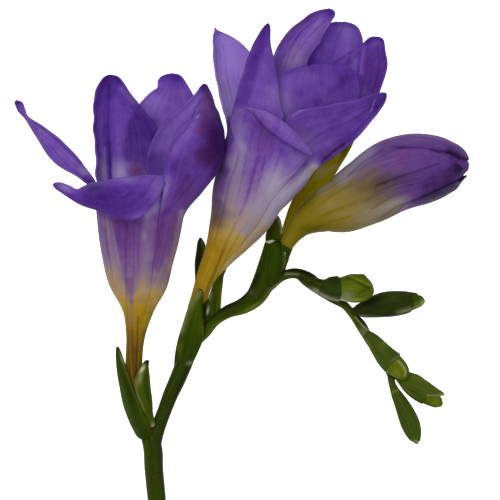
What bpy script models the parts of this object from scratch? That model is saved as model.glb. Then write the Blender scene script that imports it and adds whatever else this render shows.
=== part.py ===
"""Freesia spray, lying down: a cut stem with two open blooms, one half-open bloom and five green buds.

Lengths in the tables are millimetres, places are pixels of the photo with a height over the floor.
The finished part is in metres, +Z up, with its origin in the middle of its footprint on the floor.
"""
from collections import namedtuple

import bmesh
import bpy
import numpy as np

# Size and place
MM = 0.001
PIXEL = 0.2
CAMERA_HEIGHT = 700.0
PIXEL_HEIGHT = 12.0
PHOTO_MIDDLE = 250.0
SHIFT_X = 1.18
SHIFT_Y = 18.51
VIEW = np.array([0.0, 0.0, 1.0])

# Thicknesses, gaps and fineness
TEPAL_THICK = 0.75
BRACT_THICK = 0.65
WALL = 1.0
TEPAL_ROWS = 9
TEPAL_COLUMNS = 6
BLOOM_SIDES = 24
STEM_SIDES = 12
BUD_SIDES = 14
TIP_HALF_WIDTH = 0.35
LEFT_CAVITY = 0.56
MIDDLE_CAVITY = 0.5
DISC_RADIUS = 1.3
STAMEN_SPREAD = 2.0

Tepal = namedtuple("Tepal", "name azimuth rows tip round_off sector", defaults=[0.5, 33.0])
Leaf = namedtuple("Leaf", "rows tip round_off", defaults=[0.8])


def spot(x, y, z):
    """A place in the photo and a height over the floor, as a point in millimetres."""
    scale = PIXEL * (CAMERA_HEIGHT - z) / (CAMERA_HEIGHT - PIXEL_HEIGHT)
    return np.array([(x - PHOTO_MIDDLE) * scale + SHIFT_X, (PHOTO_MIDDLE - y) * scale + SHIFT_Y, z])


def unit(vector):
    return vector / np.linalg.norm(vector)


class Curve:
    """A smooth curve through rows of numbers set at rising marks."""

    def __init__(self, marks, values):
        self.marks = np.asarray(marks, float)
        self.values = np.asarray(values, float)
        gaps = np.diff(self.marks)
        slopes = (np.diff(self.values, axis=0).T / gaps).T
        self.tangents = np.empty_like(self.values)
        self.tangents[0] = slopes[0]
        self.tangents[-1] = slopes[-1]
        for k in range(1, len(gaps)):
            mixed = slopes[k - 1] * gaps[k] + slopes[k] * gaps[k - 1]
            self.tangents[k] = mixed / (gaps[k - 1] + gaps[k])

    def at(self, x):
        k = int(np.clip(np.searchsorted(self.marks, x) - 1, 0, len(self.marks) - 2))
        gap = self.marks[k + 1] - self.marks[k]
        f = min(max((x - self.marks[k]) / gap, 0.0), 1.0)
        point = self.values[k] * (1 + 2 * f) * (1 - f) ** 2 + self.values[k + 1] * f * f * (3 - 2 * f)
        bend = self.tangents[k] * (1 - f) - self.tangents[k + 1] * f
        return point + gap * f * (1 - f) * bend


def marks_along(points):
    steps = np.linalg.norm(np.diff(np.asarray(points, float), axis=0), axis=1)
    return np.concatenate([[0.0], np.cumsum(steps)])


class Tube:
    """A round form along a smooth line; azimuth 0 is right of the line and 90 faces the viewer."""

    def __init__(self, points, radii):
        marks = marks_along(points)
        self.knots = marks / marks[-1]
        self.line = Curve(self.knots, points)
        self.radius = Curve(self.knots, radii)

    def ring(self, s, azimuth, inset=0.0):
        step = 0.001
        along = unit(self.line.at(min(s + step, 1)) - self.line.at(max(s - step, 0)))
        right = unit(np.cross(along, VIEW))
        up = np.cross(right, along)
        angle = np.radians(azimuth)
        outward = np.cos(angle) * right + np.sin(angle) * up
        return self.line.at(s) + (self.radius.at(s) - inset) * outward


def photo_tube(knots):
    return Tube([spot(*knot[:3]) for knot in knots], [knot[3] for knot in knots])


# Left bloom, open
LEFT_TUBE = [
    (141.3, 412.5, 5.0, 1.3),
    (133.5, 365, 6.0, 1.5),
    (135, 335, 7.0, 1.8),
    (137.5, 310, 7.8, 3.1),
    (138, 287, 8.6, 5.6),
    (138.5, 262, 9.8, 6.9),
    (140, 236, 11.2, 8.0),
    (141.5, 212, 12.6, 8.6),
]
LEFT_TEPALS = [
    Tepal("back_left", 240, [
        ((97, 181, 10), (112, 175, 4), (158, 170, 4.5)),
        ((94, 134, 9), (110, 134, 3), (160, 132, 5.5)),
        ((93, 101, 7), (110, 103, 3), (138, 104, 5)),
        ((97, 87, 6.5), (110, 88, 3.5), (126, 86, 4.8)),
    ], (110, 75, 4.5), 0.6),
    Tepal("back_right", 290, [
        ((128, 175, 3.6), (155, 170, 1.4), (200, 165, 8)),
        ((128, 135, 2.4), (163, 135, 0.2), (205, 130, 5.6)),
        ((139, 106, 1.6), (170, 104, 0.2), (202, 104, 4.4)),
        ((152, 89, 1.6), (173, 90, 0.6), (193, 92, 3.4)),
    ], (174, 73, 1.6)),
    Tepal("right_back", 335, [
        ((163, 165, 7), (193, 165, 7), (214, 160, 13.5)),
        ((163, 128, 7.5), (200, 130, 9), (222.5, 136, 17)),
        ((182, 105, 8), (203, 106, 9), (215, 106, 14.5)),
        ((194, 93, 8.5), (204, 95, 9), (211, 92, 12)),
    ], (204.5, 84, 9.5), 0.7),
    Tepal("right_front", 30, [
        ((203, 192, 12), (200, 194, 19), (163, 192, 23.5)),
        ((214, 166, 13.5), (213, 166, 20), (166, 166, 25)),
        ((215, 146, 14.5), (216, 146, 20.5), (175, 146, 25)),
        ((211, 130, 16), (213, 130, 20.5), (184, 131, 23.5)),
    ], (200, 116, 19.5), 0.75),
    Tepal("front", 103, [
        ((160, 200, 23), (130, 198, 24), (101, 200, 18)),
        ((166, 176, 25.5), (131, 177, 25.5), (98, 184, 21)),
        ((156, 203, 29), (118, 190, 29), (90, 184, 25)),
        ((130, 220, 30), (98, 198, 30.5), (78, 189, 27.5)),
        ((92, 209, 29), (76, 196, 29.5), (68, 186, 28)),
    ], (54, 186, 28), 0.7, 40),
    Tepal("far_left", 175, [
        ((95, 192, 15), (93, 188, 13), (97, 185, 10)),
        ((80, 178.5, 15), (82, 172, 13), (86, 168, 12)),
        ((55, 163, 15.5), (62, 152, 14), (70, 149, 15)),
        ((30, 127, 15.5), (36, 127, 14.5), (43, 126, 15.5)),
        ((20, 111, 15.5), (22, 112, 15), (25, 113, 15.5)),
    ], (16, 101, 16), 0.8),
]

# Middle bloom, open
MIDDLE_TUBE = [
    (196.3, 305.5, 5.2, 1.35),
    (203, 285, 5.5, 1.6),
    (209, 271, 5.9, 2.0),
    (219, 255, 6.5, 3.1),
    (230, 235, 7.5, 4.7),
    (241, 213.5, 8.6, 6.5),
    (250.5, 190.5, 9.8, 7.8),
    (259, 171, 10.8, 8.4),
    (267, 155, 11.8, 9.0),
]
MIDDLE_TEPALS = [
    Tepal("left_back", 205, [
        ((223, 112, 10.5), (233, 108, 6), (252, 110, 4)),
        ((215, 78, 8), (228, 76, 5), (256, 78, 4.5)),
        ((212.5, 48, 7), (224, 52, 5), (249, 55, 5)),
        ((213.5, 37, 6.5), (218, 39, 5.5), (232, 39, 5.5)),
    ], (215.5, 28, 6), 0.8),
    Tepal("left_front", 150, [
        ((283, 118, 19), (256, 112, 19.5), (231, 121, 15)),
        ((281, 100, 17.5), (259, 92, 19), (239, 90, 16)),
        ((276, 70, 16.5), (262, 66, 18), (247, 62, 16)),
        ((271, 44, 16), (262, 42, 17), (255, 41, 16)),
    ], (268, 24, 15.5), 0.8),
    Tepal("back_left", 240, [
        ((262, 100, 7), (285, 95, 4), (305, 105, 4)),
        ((271, 62, 6.5), (292, 62, 3.5), (308, 60, 5)),
        ((284, 37, 6), (303, 38, 3.5), (321, 39, 5.5)),
        ((306, 17, 6), (317, 19, 4.5), (331, 22, 6)),
    ], (330, 9, 5.5), 0.6),
    Tepal("back", 285, [
        ((300, 105, 4), (318, 100, 2), (345, 105, 4)),
        ((303, 65, 4), (330, 62, 1.5), (360, 62, 4)),
        ((314, 42, 4), (338, 40, 1.5), (363, 42, 4)),
        ((325, 29, 3.5), (343, 29, 2), (360, 30, 4)),
    ], (344, 21.5, 3), 0.4),
    Tepal("right_back", 325, [
        ((325, 125, 8), (348, 122, 6), (352, 140, 11)),
        ((335, 90, 7), (365, 85, 5.5), (375, 105, 10)),
        ((345, 62, 6), (370, 62, 5.5), (388, 66, 9)),
        ((363, 44, 6.5), (375, 46, 6), (385, 46, 8)),
    ], (377, 37, 7), 0.5),
    Tepal("inner", 350, [
        ((340, 140, 10), (315, 140, 13), (290, 135, 17)),
        ((352, 115, 10), (318, 108, 12.5), (281, 108, 16)),
        ((360, 92, 10.5), (320, 88, 12), (279, 88, 14.5)),
        ((356, 74, 11.5), (320, 74, 12.5), (283, 76, 14)),
    ], (322, 64, 13), 0.35),
    Tepal("right_front", 25, [
        ((322, 162, 14), (302, 148, 14), (286, 128, 19)),
        ((340, 151, 13), (322, 132, 14), (297, 112, 19)),
        ((357, 136, 13.5), (345, 122, 14.5), (325, 106, 18)),
        ((373, 115, 14.5), (366, 108, 15.5), (353, 101, 17.5)),
    ], (385, 93, 17), 0.7),
    Tepal("front", 88, [
        ((300, 168, 18.5), (266, 148, 21.5), (229, 130, 16)),
        ((312, 157, 19), (274, 130, 22.5), (233, 106, 17.5)),
    ], (282, 119, 23), 0.3, 48),
]

# Right bloom, half open: the tube carries three outer tepals that still wrap the inner ones
RIGHT_TUBE = [
    (286.2, 242.8, 8.9, 1.3),
    (291, 237, 8.8, 1.5),
    (300, 226, 8.5, 2.2),
    (319.5, 213, 8.1, 3.7),
    (343, 204, 7.7, 5.3),
    (367, 190.7, 7.3, 6.3),
    (398.4, 172.4, 6.95, 6.95),
    (427, 164.5, 7.2, 6.35),
    (450.5, 162, 7.5, 4.5),
    (463, 164, 7.7, 2.6),
    (470, 167.5, 7.8, 0.6),
]

# The three outer tepals of the right bloom: azimuth, half widths in degrees along it, and lift
RIGHT_WRAPS = [
    (75, [58, 62, 60, 54, 46, 36, 24], 0.05),
    (198, [50, 60, 64, 64, 60, 56, 50], -0.25),
    (318, [50, 60, 64, 64, 60, 56, 50], -0.25),
]
RIGHT_WRAP_THICK = 1.3
RIGHT_WRAP_SPAN = (0.26, 0.965)

# Stem: the scape up to the left bloom, its branch to the middle bloom, the zigzag to the buds, and pegs
STEM_RUNS = [
    [
        (176, 672, 1.52, 1.8),
        (168, 610, 1.52, 1.8),
        (160, 540, 2.0, 1.8),
        (157, 500, 2.2, 1.8),
        (154, 470, 2.6, 1.84),
        (152, 446, 3.0, 1.85),
        (149, 435, 3.4, 1.75),
        (145.5, 424, 4.1, 1.4),
        (142.4, 416.4, 4.75, 1.3),
    ],
    [
        (152.5, 446, 3.0, 1.7),
        (158, 428, 3.2, 1.5),
        (164, 412, 3.4, 1.45),
        (170, 396, 3.6, 1.55),
        (178.5, 377, 3.9, 1.7),
        (187, 355, 4.2, 1.75),
        (192, 335, 4.6, 1.65),
        (194.5, 319, 4.9, 1.5),
        (195.6, 309.3, 5.1, 1.2),
    ],
    [
        (192, 342, 4.4, 1.5),
        (204, 332, 4.8, 1.3),
        (214, 321, 5.2, 1.2),
        (228, 312, 5.7, 1.25),
        (243, 306, 6.2, 1.5),
        (255, 298, 6.7, 1.85),
        (263, 284, 7.3, 2.25),
        (268.5, 268, 8.0, 2.3),
        (272, 252, 8.6, 2.0),
        (273, 243, 8.8, 1.7),
    ],
    [
        (262, 290, 6.9, 1.3),
        (272, 284, 7.0, 1.1),
        (281, 277.5, 7.2, 0.9),
        (291, 273.6, 7.4, 0.85),
        (301, 276, 7.4, 0.95),
        (311, 283, 7.0, 1.05),
        (322, 291, 5.6, 0.95),
        (333, 298.5, 5.0, 0.9),
        (345, 306, 4.6, 0.85),
        (352, 315, 4.1, 0.8),
        (360, 328, 3.5, 0.85),
        (370, 342, 2.6, 0.85),
        (380, 357, 2.0, 0.75),
        (388, 370, 2.0, 0.7),
        (390, 376, 2.2, 0.65),
    ],
    [
        (270, 262, 8.2, 1.5),
        (277, 253, 8.6, 1.35),
        (283.4, 246, 8.9, 1.1),
    ],
    [
        (312, 284, 7.0, 0.9),
        (316, 286, 7.6, 1.0),
        (318.7, 287, 8.1, 0.95),
    ],
]

# Buds along the drooping end: how much of the bud its bract wraps, and the bud's form
BUDS = {
    "bud_1": (0.42, [
        (324.4, 288, 8.7, 1.35),
        (331, 288.3, 8.6, 1.9),
        (341, 288.7, 8.6, 2.25),
        (351, 288.5, 8.6, 2.8),
        (361, 288.3, 8.6, 2.6),
        (368, 287.5, 8.6, 1.85),
        (372, 286.5, 8.6, 0.7),
    ]),
    "bud_2": (0.78, [
        (359.5, 309.3, 4.9, 0.6),
        (364, 308.8, 4.7, 1.2),
        (371, 307.3, 4.5, 1.75),
        (383, 305, 4.3, 2.2),
        (397, 303, 4.2, 2.15),
        (411, 301.3, 4.2, 1.85),
        (419, 301.3, 4.2, 1.3),
        (424.5, 302, 4.2, 0.5),
    ]),
    "bud_3": (0.66, [
        (366, 335, 5.7, 0.7),
        (371, 341, 5.9, 1.35),
        (380, 350, 6.0, 1.85),
        (390, 360, 5.8, 2.15),
        (397, 368, 5.6, 2.0),
        (401.5, 374, 5.5, 1.4),
        (404, 378, 5.5, 0.6),
    ]),
    "bud_4": (0.62, [
        (398.2, 377.8, 3.2, 0.6),
        (405, 382, 3.2, 1.35),
        (415, 388.5, 3.2, 2.0),
        (425, 394.5, 3.2, 2.05),
        (434, 400.5, 3.2, 1.6),
        (441.5, 405, 3.2, 0.7),
    ]),
    "bud_5": (0.81, [
        (391.6, 383.5, 2.2, 0.45),
        (394.5, 390, 2.3, 0.6),
        (399, 399, 2.5, 1.05),
        (404.5, 411, 2.6, 1.6),
        (410, 424, 2.6, 1.85),
        (414, 433, 2.6, 1.6),
        (418, 443, 2.6, 0.6),
    ]),
}
CUP_LIFT = 0.25
CUP_STEP = 0.012

# Bracts, and the slim green tepal under the middle bloom
LEAVES = {
    "left_bract_1": Leaf([
        ((133.5, 431, 3.4), (140, 432.5, 6.6), (150, 428.5, 6.9)),
        ((126.3, 414.5, 3.8), (134, 414, 7.1), (143.9, 414.5, 7.6)),
        ((121, 393, 4.2), (127.5, 394, 6.9), (135, 395, 7.8)),
        ((117.4, 368, 5.0), (121.5, 370, 6.6), (126.5, 371, 7.6)),
        ((116.3, 354, 6.0), (118.6, 355, 6.8), (121.5, 353.5, 7.2)),
    ], (117, 347, 7.0)),
    "left_bract_2": Leaf([
        ((149.5, 421, 6.9), (151.6, 420.5, 6.4), (153.5, 419.7, 5.4)),
        ((145.8, 410, 7.4), (149.4, 410, 7.0), (152, 410, 5.6)),
        ((138.5, 394, 7.8), (144.6, 393.5, 7.8), (150.9, 393.4, 5.4)),
        ((136.5, 380, 8.0), (143, 379, 8.0), (149, 379.4, 6.0)),
        ((141, 369, 8.0), (144.6, 369, 7.8), (148, 368, 7.0)),
    ], (146.5, 361, 7.6)),
    "middle_bract_front": Leaf([
        ((175.3, 356, 5.4), (185, 362, 7.0), (197, 352, 6.8)),
        ((180.5, 331, 5.0), (191, 333, 7.7), (203, 335, 7.1)),
        ((185.5, 312, 6.2), (195, 312, 7.9), (203, 313, 7.0)),
        ((190.8, 300, 7.7), (197, 300, 8.3), (202.6, 300, 7.8)),
    ], (201, 289.5, 8.4)),
    "middle_bract_left": Leaf([
        ((188, 305, 3.9), (191, 303, 3.2), (195, 303, 2.8)),
        ((195.5, 282, 3.6), (198.5, 280, 3.1), (202, 280, 2.9)),
        ((195.6, 260, 3.8), (199.5, 260, 3.0), (204, 258, 2.8)),
        ((197.6, 247, 3.8), (201, 247, 3.2), (205.3, 247, 3.0)),
    ], (200.4, 238, 3.6)),
    "middle_bract_right": Leaf([
        ((207, 310, 7.0), (213, 308, 6.9), (219, 305.5, 5.6)),
        ((211, 298, 5.6), (216, 296, 4.6), (221, 294, 3.8)),
        ((216, 282, 3.9), (219.5, 282, 3.4), (223.4, 280, 3.2)),
    ], (226, 266, 3.1)),
    "right_bract_upper": Leaf([
        ((265.8, 240, 6.2), (271, 239, 6.3), (277, 239.5, 6.8)),
        ((266.8, 233, 4.8), (272, 232, 5.0), (278, 231, 5.6)),
        ((270.5, 224, 4.2), (274.5, 224, 4.2), (279, 224, 4.4)),
    ], (276.5, 215, 3.6)),
    "right_bract_lower": Leaf([
        ((283.5, 266, 6.6), (285, 266.5, 6.4), (287, 264, 6.0)),
        ((286, 255, 6.8), (287.6, 255.5, 6.6), (289.4, 256, 6.2)),
    ], (293, 244.5, 6.6)),
    "green_tepal": Leaf([
        ((279.5, 240, 5.6), (281.5, 240, 5.4), (284, 240, 5.6)),
        ((282.5, 226, 5.2), (287, 226, 5.0), (291.5, 225, 5.2)),
        ((292, 198, 4.6), (298, 202, 4.2), (304, 205, 4.6)),
        ((315, 173, 4.6), (321, 178, 4.0), (329, 182, 4.6)),
        ((334, 156, 5.2), (339, 161, 4.8), (345, 160, 5.4)),
    ], (355, 138, 6.0)),
}

# Colours
VIOLET = (0.16, 0.07, 0.34, 1.0)
LILAC = (0.28, 0.17, 0.38, 1.0)
LEAF_GREEN = (0.045, 0.10, 0.012, 1.0)
STEM_GREEN = (0.03, 0.06, 0.008, 1.0)
BUD_GREEN = (0.09, 0.12, 0.012, 1.0)
STRIP_GREEN = (0.10, 0.11, 0.008, 1.0)
CREAM = (0.62, 0.52, 0.42, 1.0)


def bent_row(first, middle, last, columns):
    """Points on the parabola through the two edges and the middle of a row."""
    steps = np.linspace(-1.0, 1.0, columns + 1)
    return [middle + (last - first) * 0.5 * u + (0.5 * (first + last) - middle) * u * u for u in steps]


def leaf_grid(leaf_rows, tip, round_off, rows, columns, thin, power):
    """Rows of points through the leaf's three lines, rounded off to its tip."""
    knots = np.array([[point for point in row] for row in leaf_rows])
    marks = marks_along(knots[:, 1])
    curve = Curve(marks, knots.reshape(len(knots), 9))
    end = knots[-1]
    slopes = curve.tangents[-1].reshape(3, 3)
    reach = np.linalg.norm(tip - end[1])
    total = marks[-1] + reach
    grid = []
    for j in range(rows + 1):
        x = total * (1 - (1 - j / rows) ** power)
        if x <= marks[-1]:
            first, middle, last = curve.at(x).reshape(3, 3)
        else:
            f = min(1.0, (x - marks[-1]) / reach)
            narrow = max(0.0, 1 - f ** 2) ** round_off
            to_tip = tip - end[1]
            middle = end[1] + to_tip * f + (slopes[1] * reach - to_tip) * f * (1 - f) ** 2
            lean = reach * f * (1 - f)
            first = middle + (end[0] - end[1] + (slopes[0] - slopes[1]) * lean) * narrow
            last = middle + (end[2] - end[1] + (slopes[2] - slopes[1]) * lean) * narrow
        if np.linalg.norm(last - first) < 2 * thin:
            side = unit(end[2] - end[0])
            first = middle - side * thin
            last = middle + side * thin
        grid.append(bent_row(first, middle, last, columns))
    return np.array(grid)


def tepal_grid(tube, tepal):
    """A tepal from inside the wall of its tube, out over the throat, to its tip."""
    inset = WALL / 2
    trio = (tepal.azimuth - tepal.sector, tepal.azimuth, tepal.azimuth + tepal.sector)
    root = [[tube.ring(s, a, inset) for a in trio] for s in (0.93, 1.0)]
    blade = [[spot(*point) for point in row] for row in tepal.rows]
    grid = leaf_grid(root + blade, spot(*tepal.tip), tepal.round_off, TEPAL_ROWS + 1, TEPAL_COLUMNS,
                     TIP_HALF_WIDTH, 1.25)
    # the first row follows the round wall
    around = np.linspace(trio[0], trio[2], TEPAL_COLUMNS + 1)
    grid[0] = [tube.ring(0.93, a, inset) for a in around]
    return grid


def grid_mesh(name, grid):
    """One sheet of triangles through the rows of points."""
    rows, columns = grid.shape[0], grid.shape[1]
    faces = []
    for j in range(rows - 1):
        for i in range(columns - 1):
            a = j * columns + i
            b = a + columns
            faces.append((a, a + 1, b + 1))
            faces.append((a, b + 1, b))
    mesh = bpy.data.meshes.new(name)
    mesh.from_pydata((grid.reshape(-1, 3) * MM).tolist(), [], faces)
    return mesh


def rings_mesh(name, rings):
    """A closed form through rings of points, with a flat face at each end."""
    sides = len(rings[0])
    points = np.concatenate(rings) * MM
    faces = [tuple(reversed(range(sides)))]
    for j in range(len(rings) - 1):
        for i in range(sides):
            a = j * sides
            k = (i + 1) % sides
            faces.append((a + i, a + k, a + sides + k))
            faces.append((a + i, a + sides + k, a + sides + i))
    top = (len(rings) - 1) * sides
    faces.append(tuple(range(top, top + sides)))
    mesh = bpy.data.meshes.new(name)
    mesh.from_pydata(points.tolist(), [], faces)
    return mesh


def add_object(name, mesh, collection):
    item = bpy.data.objects.new(name, mesh)
    collection.objects.link(item)
    return item


def apply_modifiers(item):
    graph = bpy.context.evaluated_depsgraph_get()
    graph.update()
    mesh = bpy.data.meshes.new_from_object(item.evaluated_get(graph))
    old = item.data
    item.modifiers.clear()
    item.data = mesh
    mesh.name = item.name
    bpy.data.meshes.remove(old)


def rest_on_floor(item):
    """Press what would be under the floor flat onto it."""
    for vertex in item.data.vertices:
        vertex.co.z = max(vertex.co.z, 0.0)


def add_sheet(name, grid, thick, collection):
    item = add_object(name, grid_mesh(name, grid), collection)
    solidify = item.modifiers.new("Thickness", "SOLIDIFY")
    solidify.thickness = thick * MM
    solidify.offset = 0.0
    apply_modifiers(item)
    rest_on_floor(item)
    return item


def ring_of(tube, s, sides, inset=0.0):
    return [tube.ring(s, -360.0 * i / sides, inset) for i in range(sides)]


def add_rod(name, tube, steps, sides, collection):
    """A solid round form along a tube's line: a curve with a bevel, made a mesh."""
    curve = bpy.data.curves.new(name, "CURVE")
    curve.dimensions = "3D"
    curve.bevel_depth = MM
    curve.bevel_resolution = (sides - 4) // 2
    curve.use_fill_caps = True
    spline = curve.splines.new("POLY")
    spline.points.add(len(steps) - 1)
    for point, s in zip(spline.points, steps):
        point.co = (*(tube.line.at(s) * MM), 1.0)
        point.radius = tube.radius.at(s)
    bent = add_object(name + "_curve", curve, collection)
    graph = bpy.context.evaluated_depsgraph_get()
    graph.update()
    mesh = bpy.data.meshes.new_from_object(bent.evaluated_get(graph))
    mesh.name = name
    bpy.data.objects.remove(bent)
    bpy.data.curves.remove(curve)
    welded = bmesh.new()
    welded.from_mesh(mesh)
    bmesh.ops.remove_doubles(welded, verts=welded.verts, dist=0.000001)
    welded.to_mesh(mesh)
    welded.free()
    item = add_object(name, mesh, collection)
    rest_on_floor(item)
    return item


def steps_through(tube, between):
    """Steps at the knots of a tube, with more between them."""
    count = len(tube.knots)
    return np.interp(np.linspace(0, count - 1, (count - 1) * between + 1), range(count), tube.knots)


def join_all(item, others):
    """Unite an object with those of a collection, which are then removed."""
    union = item.modifiers.new("Union", "BOOLEAN")
    union.operation = "UNION"
    union.operand_type = "COLLECTION"
    union.collection = others
    union.solver = "MANIFOLD"
    apply_modifiers(item)
    for other in list(others.objects):
        mesh = other.data
        bpy.data.objects.remove(other)
        bpy.data.meshes.remove(mesh)


def finish(item, colour, roughness):
    """Shade the round faces smooth and give the piece its colour."""
    item.data.shade_smooth()
    item.data.set_sharp_from_angle(angle=np.radians(40))
    material = bpy.data.materials.new(item.name + "_colour")
    material.use_nodes = True
    shader = material.node_tree.nodes["Principled BSDF"]
    shader.inputs["Base Color"].default_value = colour
    shader.inputs["Roughness"].default_value = roughness
    item.data.materials.clear()
    item.data.materials.append(material)


def wrap_grid(tube, azimuth, half_widths, lift, span, rows, columns):
    """Rows of points on a tube's surface, in a band round one azimuth."""
    width = Curve(np.linspace(0, 1, len(half_widths)), half_widths)
    grid = []
    for f in np.linspace(0, 1, rows + 1):
        s = span[0] + (span[1] - span[0]) * f
        half = width.at(f)
        grid.append([tube.ring(s, azimuth + half * u, -lift) for u in np.linspace(-1, 1, columns + 1)])
    return np.array(grid)


def build_open_bloom(name, knots, tepals, cavity, parts, cutters):
    """A hollow tube with its tepals, in one piece."""
    tube = photo_tube(knots)
    outside = [ring_of(tube, s, BLOOM_SIDES) for s in tube.knots]
    inside = [s for s in tube.knots if s > cavity + 0.02]
    hollow = [ring_of(tube, s, BLOOM_SIDES, WALL) for s in reversed(inside)]
    hollow.append(ring_of(tube, cavity, BLOOM_SIDES, WALL))
    bloom = add_object(name, rings_mesh(name, outside + hollow), parts)
    for tepal in tepals:
        add_sheet(name + "_" + tepal.name, tepal_grid(tube, tepal), TEPAL_THICK, cutters)
    join_all(bloom, cutters)
    finish(bloom, VIOLET, 0.5)


def build_right_bloom(parts, cutters):
    """The half-open bloom: a closed body with the edges of its outer tepals standing proud."""
    name = "right_bloom"
    tube = photo_tube(RIGHT_TUBE)
    bloom = add_rod(name, tube, steps_through(tube, 1), BLOOM_SIDES, parts)
    for number, (azimuth, half_widths, lift) in enumerate(RIGHT_WRAPS):
        grid = wrap_grid(tube, azimuth, half_widths, lift, RIGHT_WRAP_SPAN, 10, 8)
        add_sheet(name + "_outer_" + str(number), grid, RIGHT_WRAP_THICK, cutters)
    join_all(bloom, cutters)
    finish(bloom, LILAC, 0.5)


def build_stamens(name, knots, start, parts, cutters):
    """Three stamens round a style, standing on a small disc in the bottom of a tube."""
    tube = photo_tube(knots)
    span = np.linspace(start, 1.0, 6)
    disc = Tube([tube.line.at(start), tube.line.at(start + 0.03)], [DISC_RADIUS, DISC_RADIUS])
    item = add_rod(name, disc, (0, 1), 12, parts)
    lines = [("style", 0.0, 0.0, 1.0)]
    lines += [("stamen_" + str(k), 30.0 + 120.0 * k, STAMEN_SPREAD, 0.86) for k in range(3)]
    for label, azimuth, spread, length in lines:
        points = []
        for f in np.linspace(0, length, 6):
            s = start + 0.01 + (1.0 - start) * f
            axis = tube.line.at(min(s, 1.0))
            out = unit(tube.ring(min(s, 0.99), azimuth) - axis)
            points.append(axis + out * (spread * (0.35 + 0.65 * f) if spread else 0.0))
        radii = [0.32, 0.32, 0.32, 0.32, 0.5, 0.4] if spread else [0.4, 0.36, 0.32, 0.32, 0.32, 0.42]
        add_rod(name + "_" + label, Tube(points, radii), np.linspace(0, 1, 8), 8, cutters)
    join_all(item, cutters)
    finish(item, CREAM, 0.5)


def build_stem(parts, cutters):
    tubes = [photo_tube(run) for run in STEM_RUNS]
    stem = add_rod("stem", tubes[0], steps_through(tubes[0], 1), STEM_SIDES, parts)
    for number, tube in enumerate(tubes[1:]):
        add_rod("stem_run_" + str(number), tube, steps_through(tube, 1), STEM_SIDES, cutters)
    join_all(stem, cutters)
    finish(stem, STEM_GREEN, 0.45)


def build_bud(name, cup, knots, parts):
    """A closed bud in one piece with the bract that wraps its lower part, which ends in a small step."""
    tube = photo_tube(knots)
    steps = [s for s in steps_through(tube, 1) if abs(s - cup) > 0.03]
    steps = sorted(steps + [cup, cup + CUP_STEP])
    radii = [tube.radius.at(s) + (CUP_LIFT if s <= cup else 0.0) for s in steps]
    wrapped = Tube([tube.line.at(s) for s in steps], radii)
    bud = add_rod(name, wrapped, wrapped.knots, BUD_SIDES, parts)
    finish(bud, BUD_GREEN, 0.45)


def build():
    for item in list(bpy.data.objects):
        bpy.data.objects.remove(item)
    parts = bpy.data.collections.new("freesia")
    cutters = bpy.data.collections.new("freesia_cutters")
    bpy.context.scene.collection.children.link(parts)
    bpy.context.scene.collection.children.link(cutters)
    build_stem(parts, cutters)
    build_open_bloom("left_bloom", LEFT_TUBE, LEFT_TEPALS, LEFT_CAVITY, parts, cutters)
    build_stamens("left_stamens", LEFT_TUBE, LEFT_CAVITY + 0.012, parts, cutters)
    build_open_bloom("middle_bloom", MIDDLE_TUBE, MIDDLE_TEPALS, MIDDLE_CAVITY, parts, cutters)
    build_stamens("middle_stamens", MIDDLE_TUBE, MIDDLE_CAVITY + 0.014, parts, cutters)
    build_right_bloom(parts, cutters)
    for name, (cup, knots) in BUDS.items():
        build_bud(name, cup, knots, parts)
    for name, leaf in LEAVES.items():
        rows = [[spot(*point) for point in row] for row in leaf.rows]
        grid = leaf_grid(rows, spot(*leaf.tip), leaf.round_off, 8, 4, 0.3, 1.2)
        item = add_sheet(name, grid, BRACT_THICK, parts)
        finish(item, STRIP_GREEN if name == "green_tepal" else LEAF_GREEN, 0.45)
    spray = bpy.data.objects.new("spray", None)
    parts.objects.link(spray)
    for item in list(parts.objects):
        if item.type == "MESH":
            item.parent = spray


build()
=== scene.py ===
"""Freesia spray lying on a pale table, seen from straight above.

Places in the tables are pixels of the photo with a height over the table in millimetres.
Sizes are millimetres until a point goes into a mesh, which is in metres.
"""
from collections import namedtuple

import bmesh
import bpy
import numpy as np
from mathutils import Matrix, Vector


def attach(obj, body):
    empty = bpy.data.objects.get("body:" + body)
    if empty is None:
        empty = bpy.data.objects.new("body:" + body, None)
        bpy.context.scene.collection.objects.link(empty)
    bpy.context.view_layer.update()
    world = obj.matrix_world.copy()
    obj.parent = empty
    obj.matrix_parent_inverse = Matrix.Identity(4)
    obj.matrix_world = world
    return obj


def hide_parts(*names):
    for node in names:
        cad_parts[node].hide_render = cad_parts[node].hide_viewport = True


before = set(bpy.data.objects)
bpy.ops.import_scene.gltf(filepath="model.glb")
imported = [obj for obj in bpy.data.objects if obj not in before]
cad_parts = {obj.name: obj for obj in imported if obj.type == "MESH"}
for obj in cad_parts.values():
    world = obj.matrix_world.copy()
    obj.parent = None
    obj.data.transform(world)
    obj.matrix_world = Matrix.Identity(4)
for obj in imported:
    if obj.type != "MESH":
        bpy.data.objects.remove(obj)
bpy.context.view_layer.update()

# Size and place, as in the part
MM = 0.001
PIXEL = 0.2
CAMERA_HEIGHT = 700.0
PIXEL_HEIGHT = 12.0
PHOTO_MIDDLE = 250.0
SHIFT_X = 1.18
SHIFT_Y = 18.51
VIEW = np.array([0.0, 0.0, 1.0])

# Camera: the photo is 100 mm wide at the height of its pixels
SENSOR = 36.0
PHOTO_WIDTH = 500 * PIXEL
LENS = SENSOR * (CAMERA_HEIGHT - PIXEL_HEIGHT) / PHOTO_WIDTH

# Thickness of the sheets
TEPAL_THICK = 0.3
BRACT_THICK = 0.38
SCALE_THICK = 0.3
BUD_WRAP_THICK = 0.24

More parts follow.
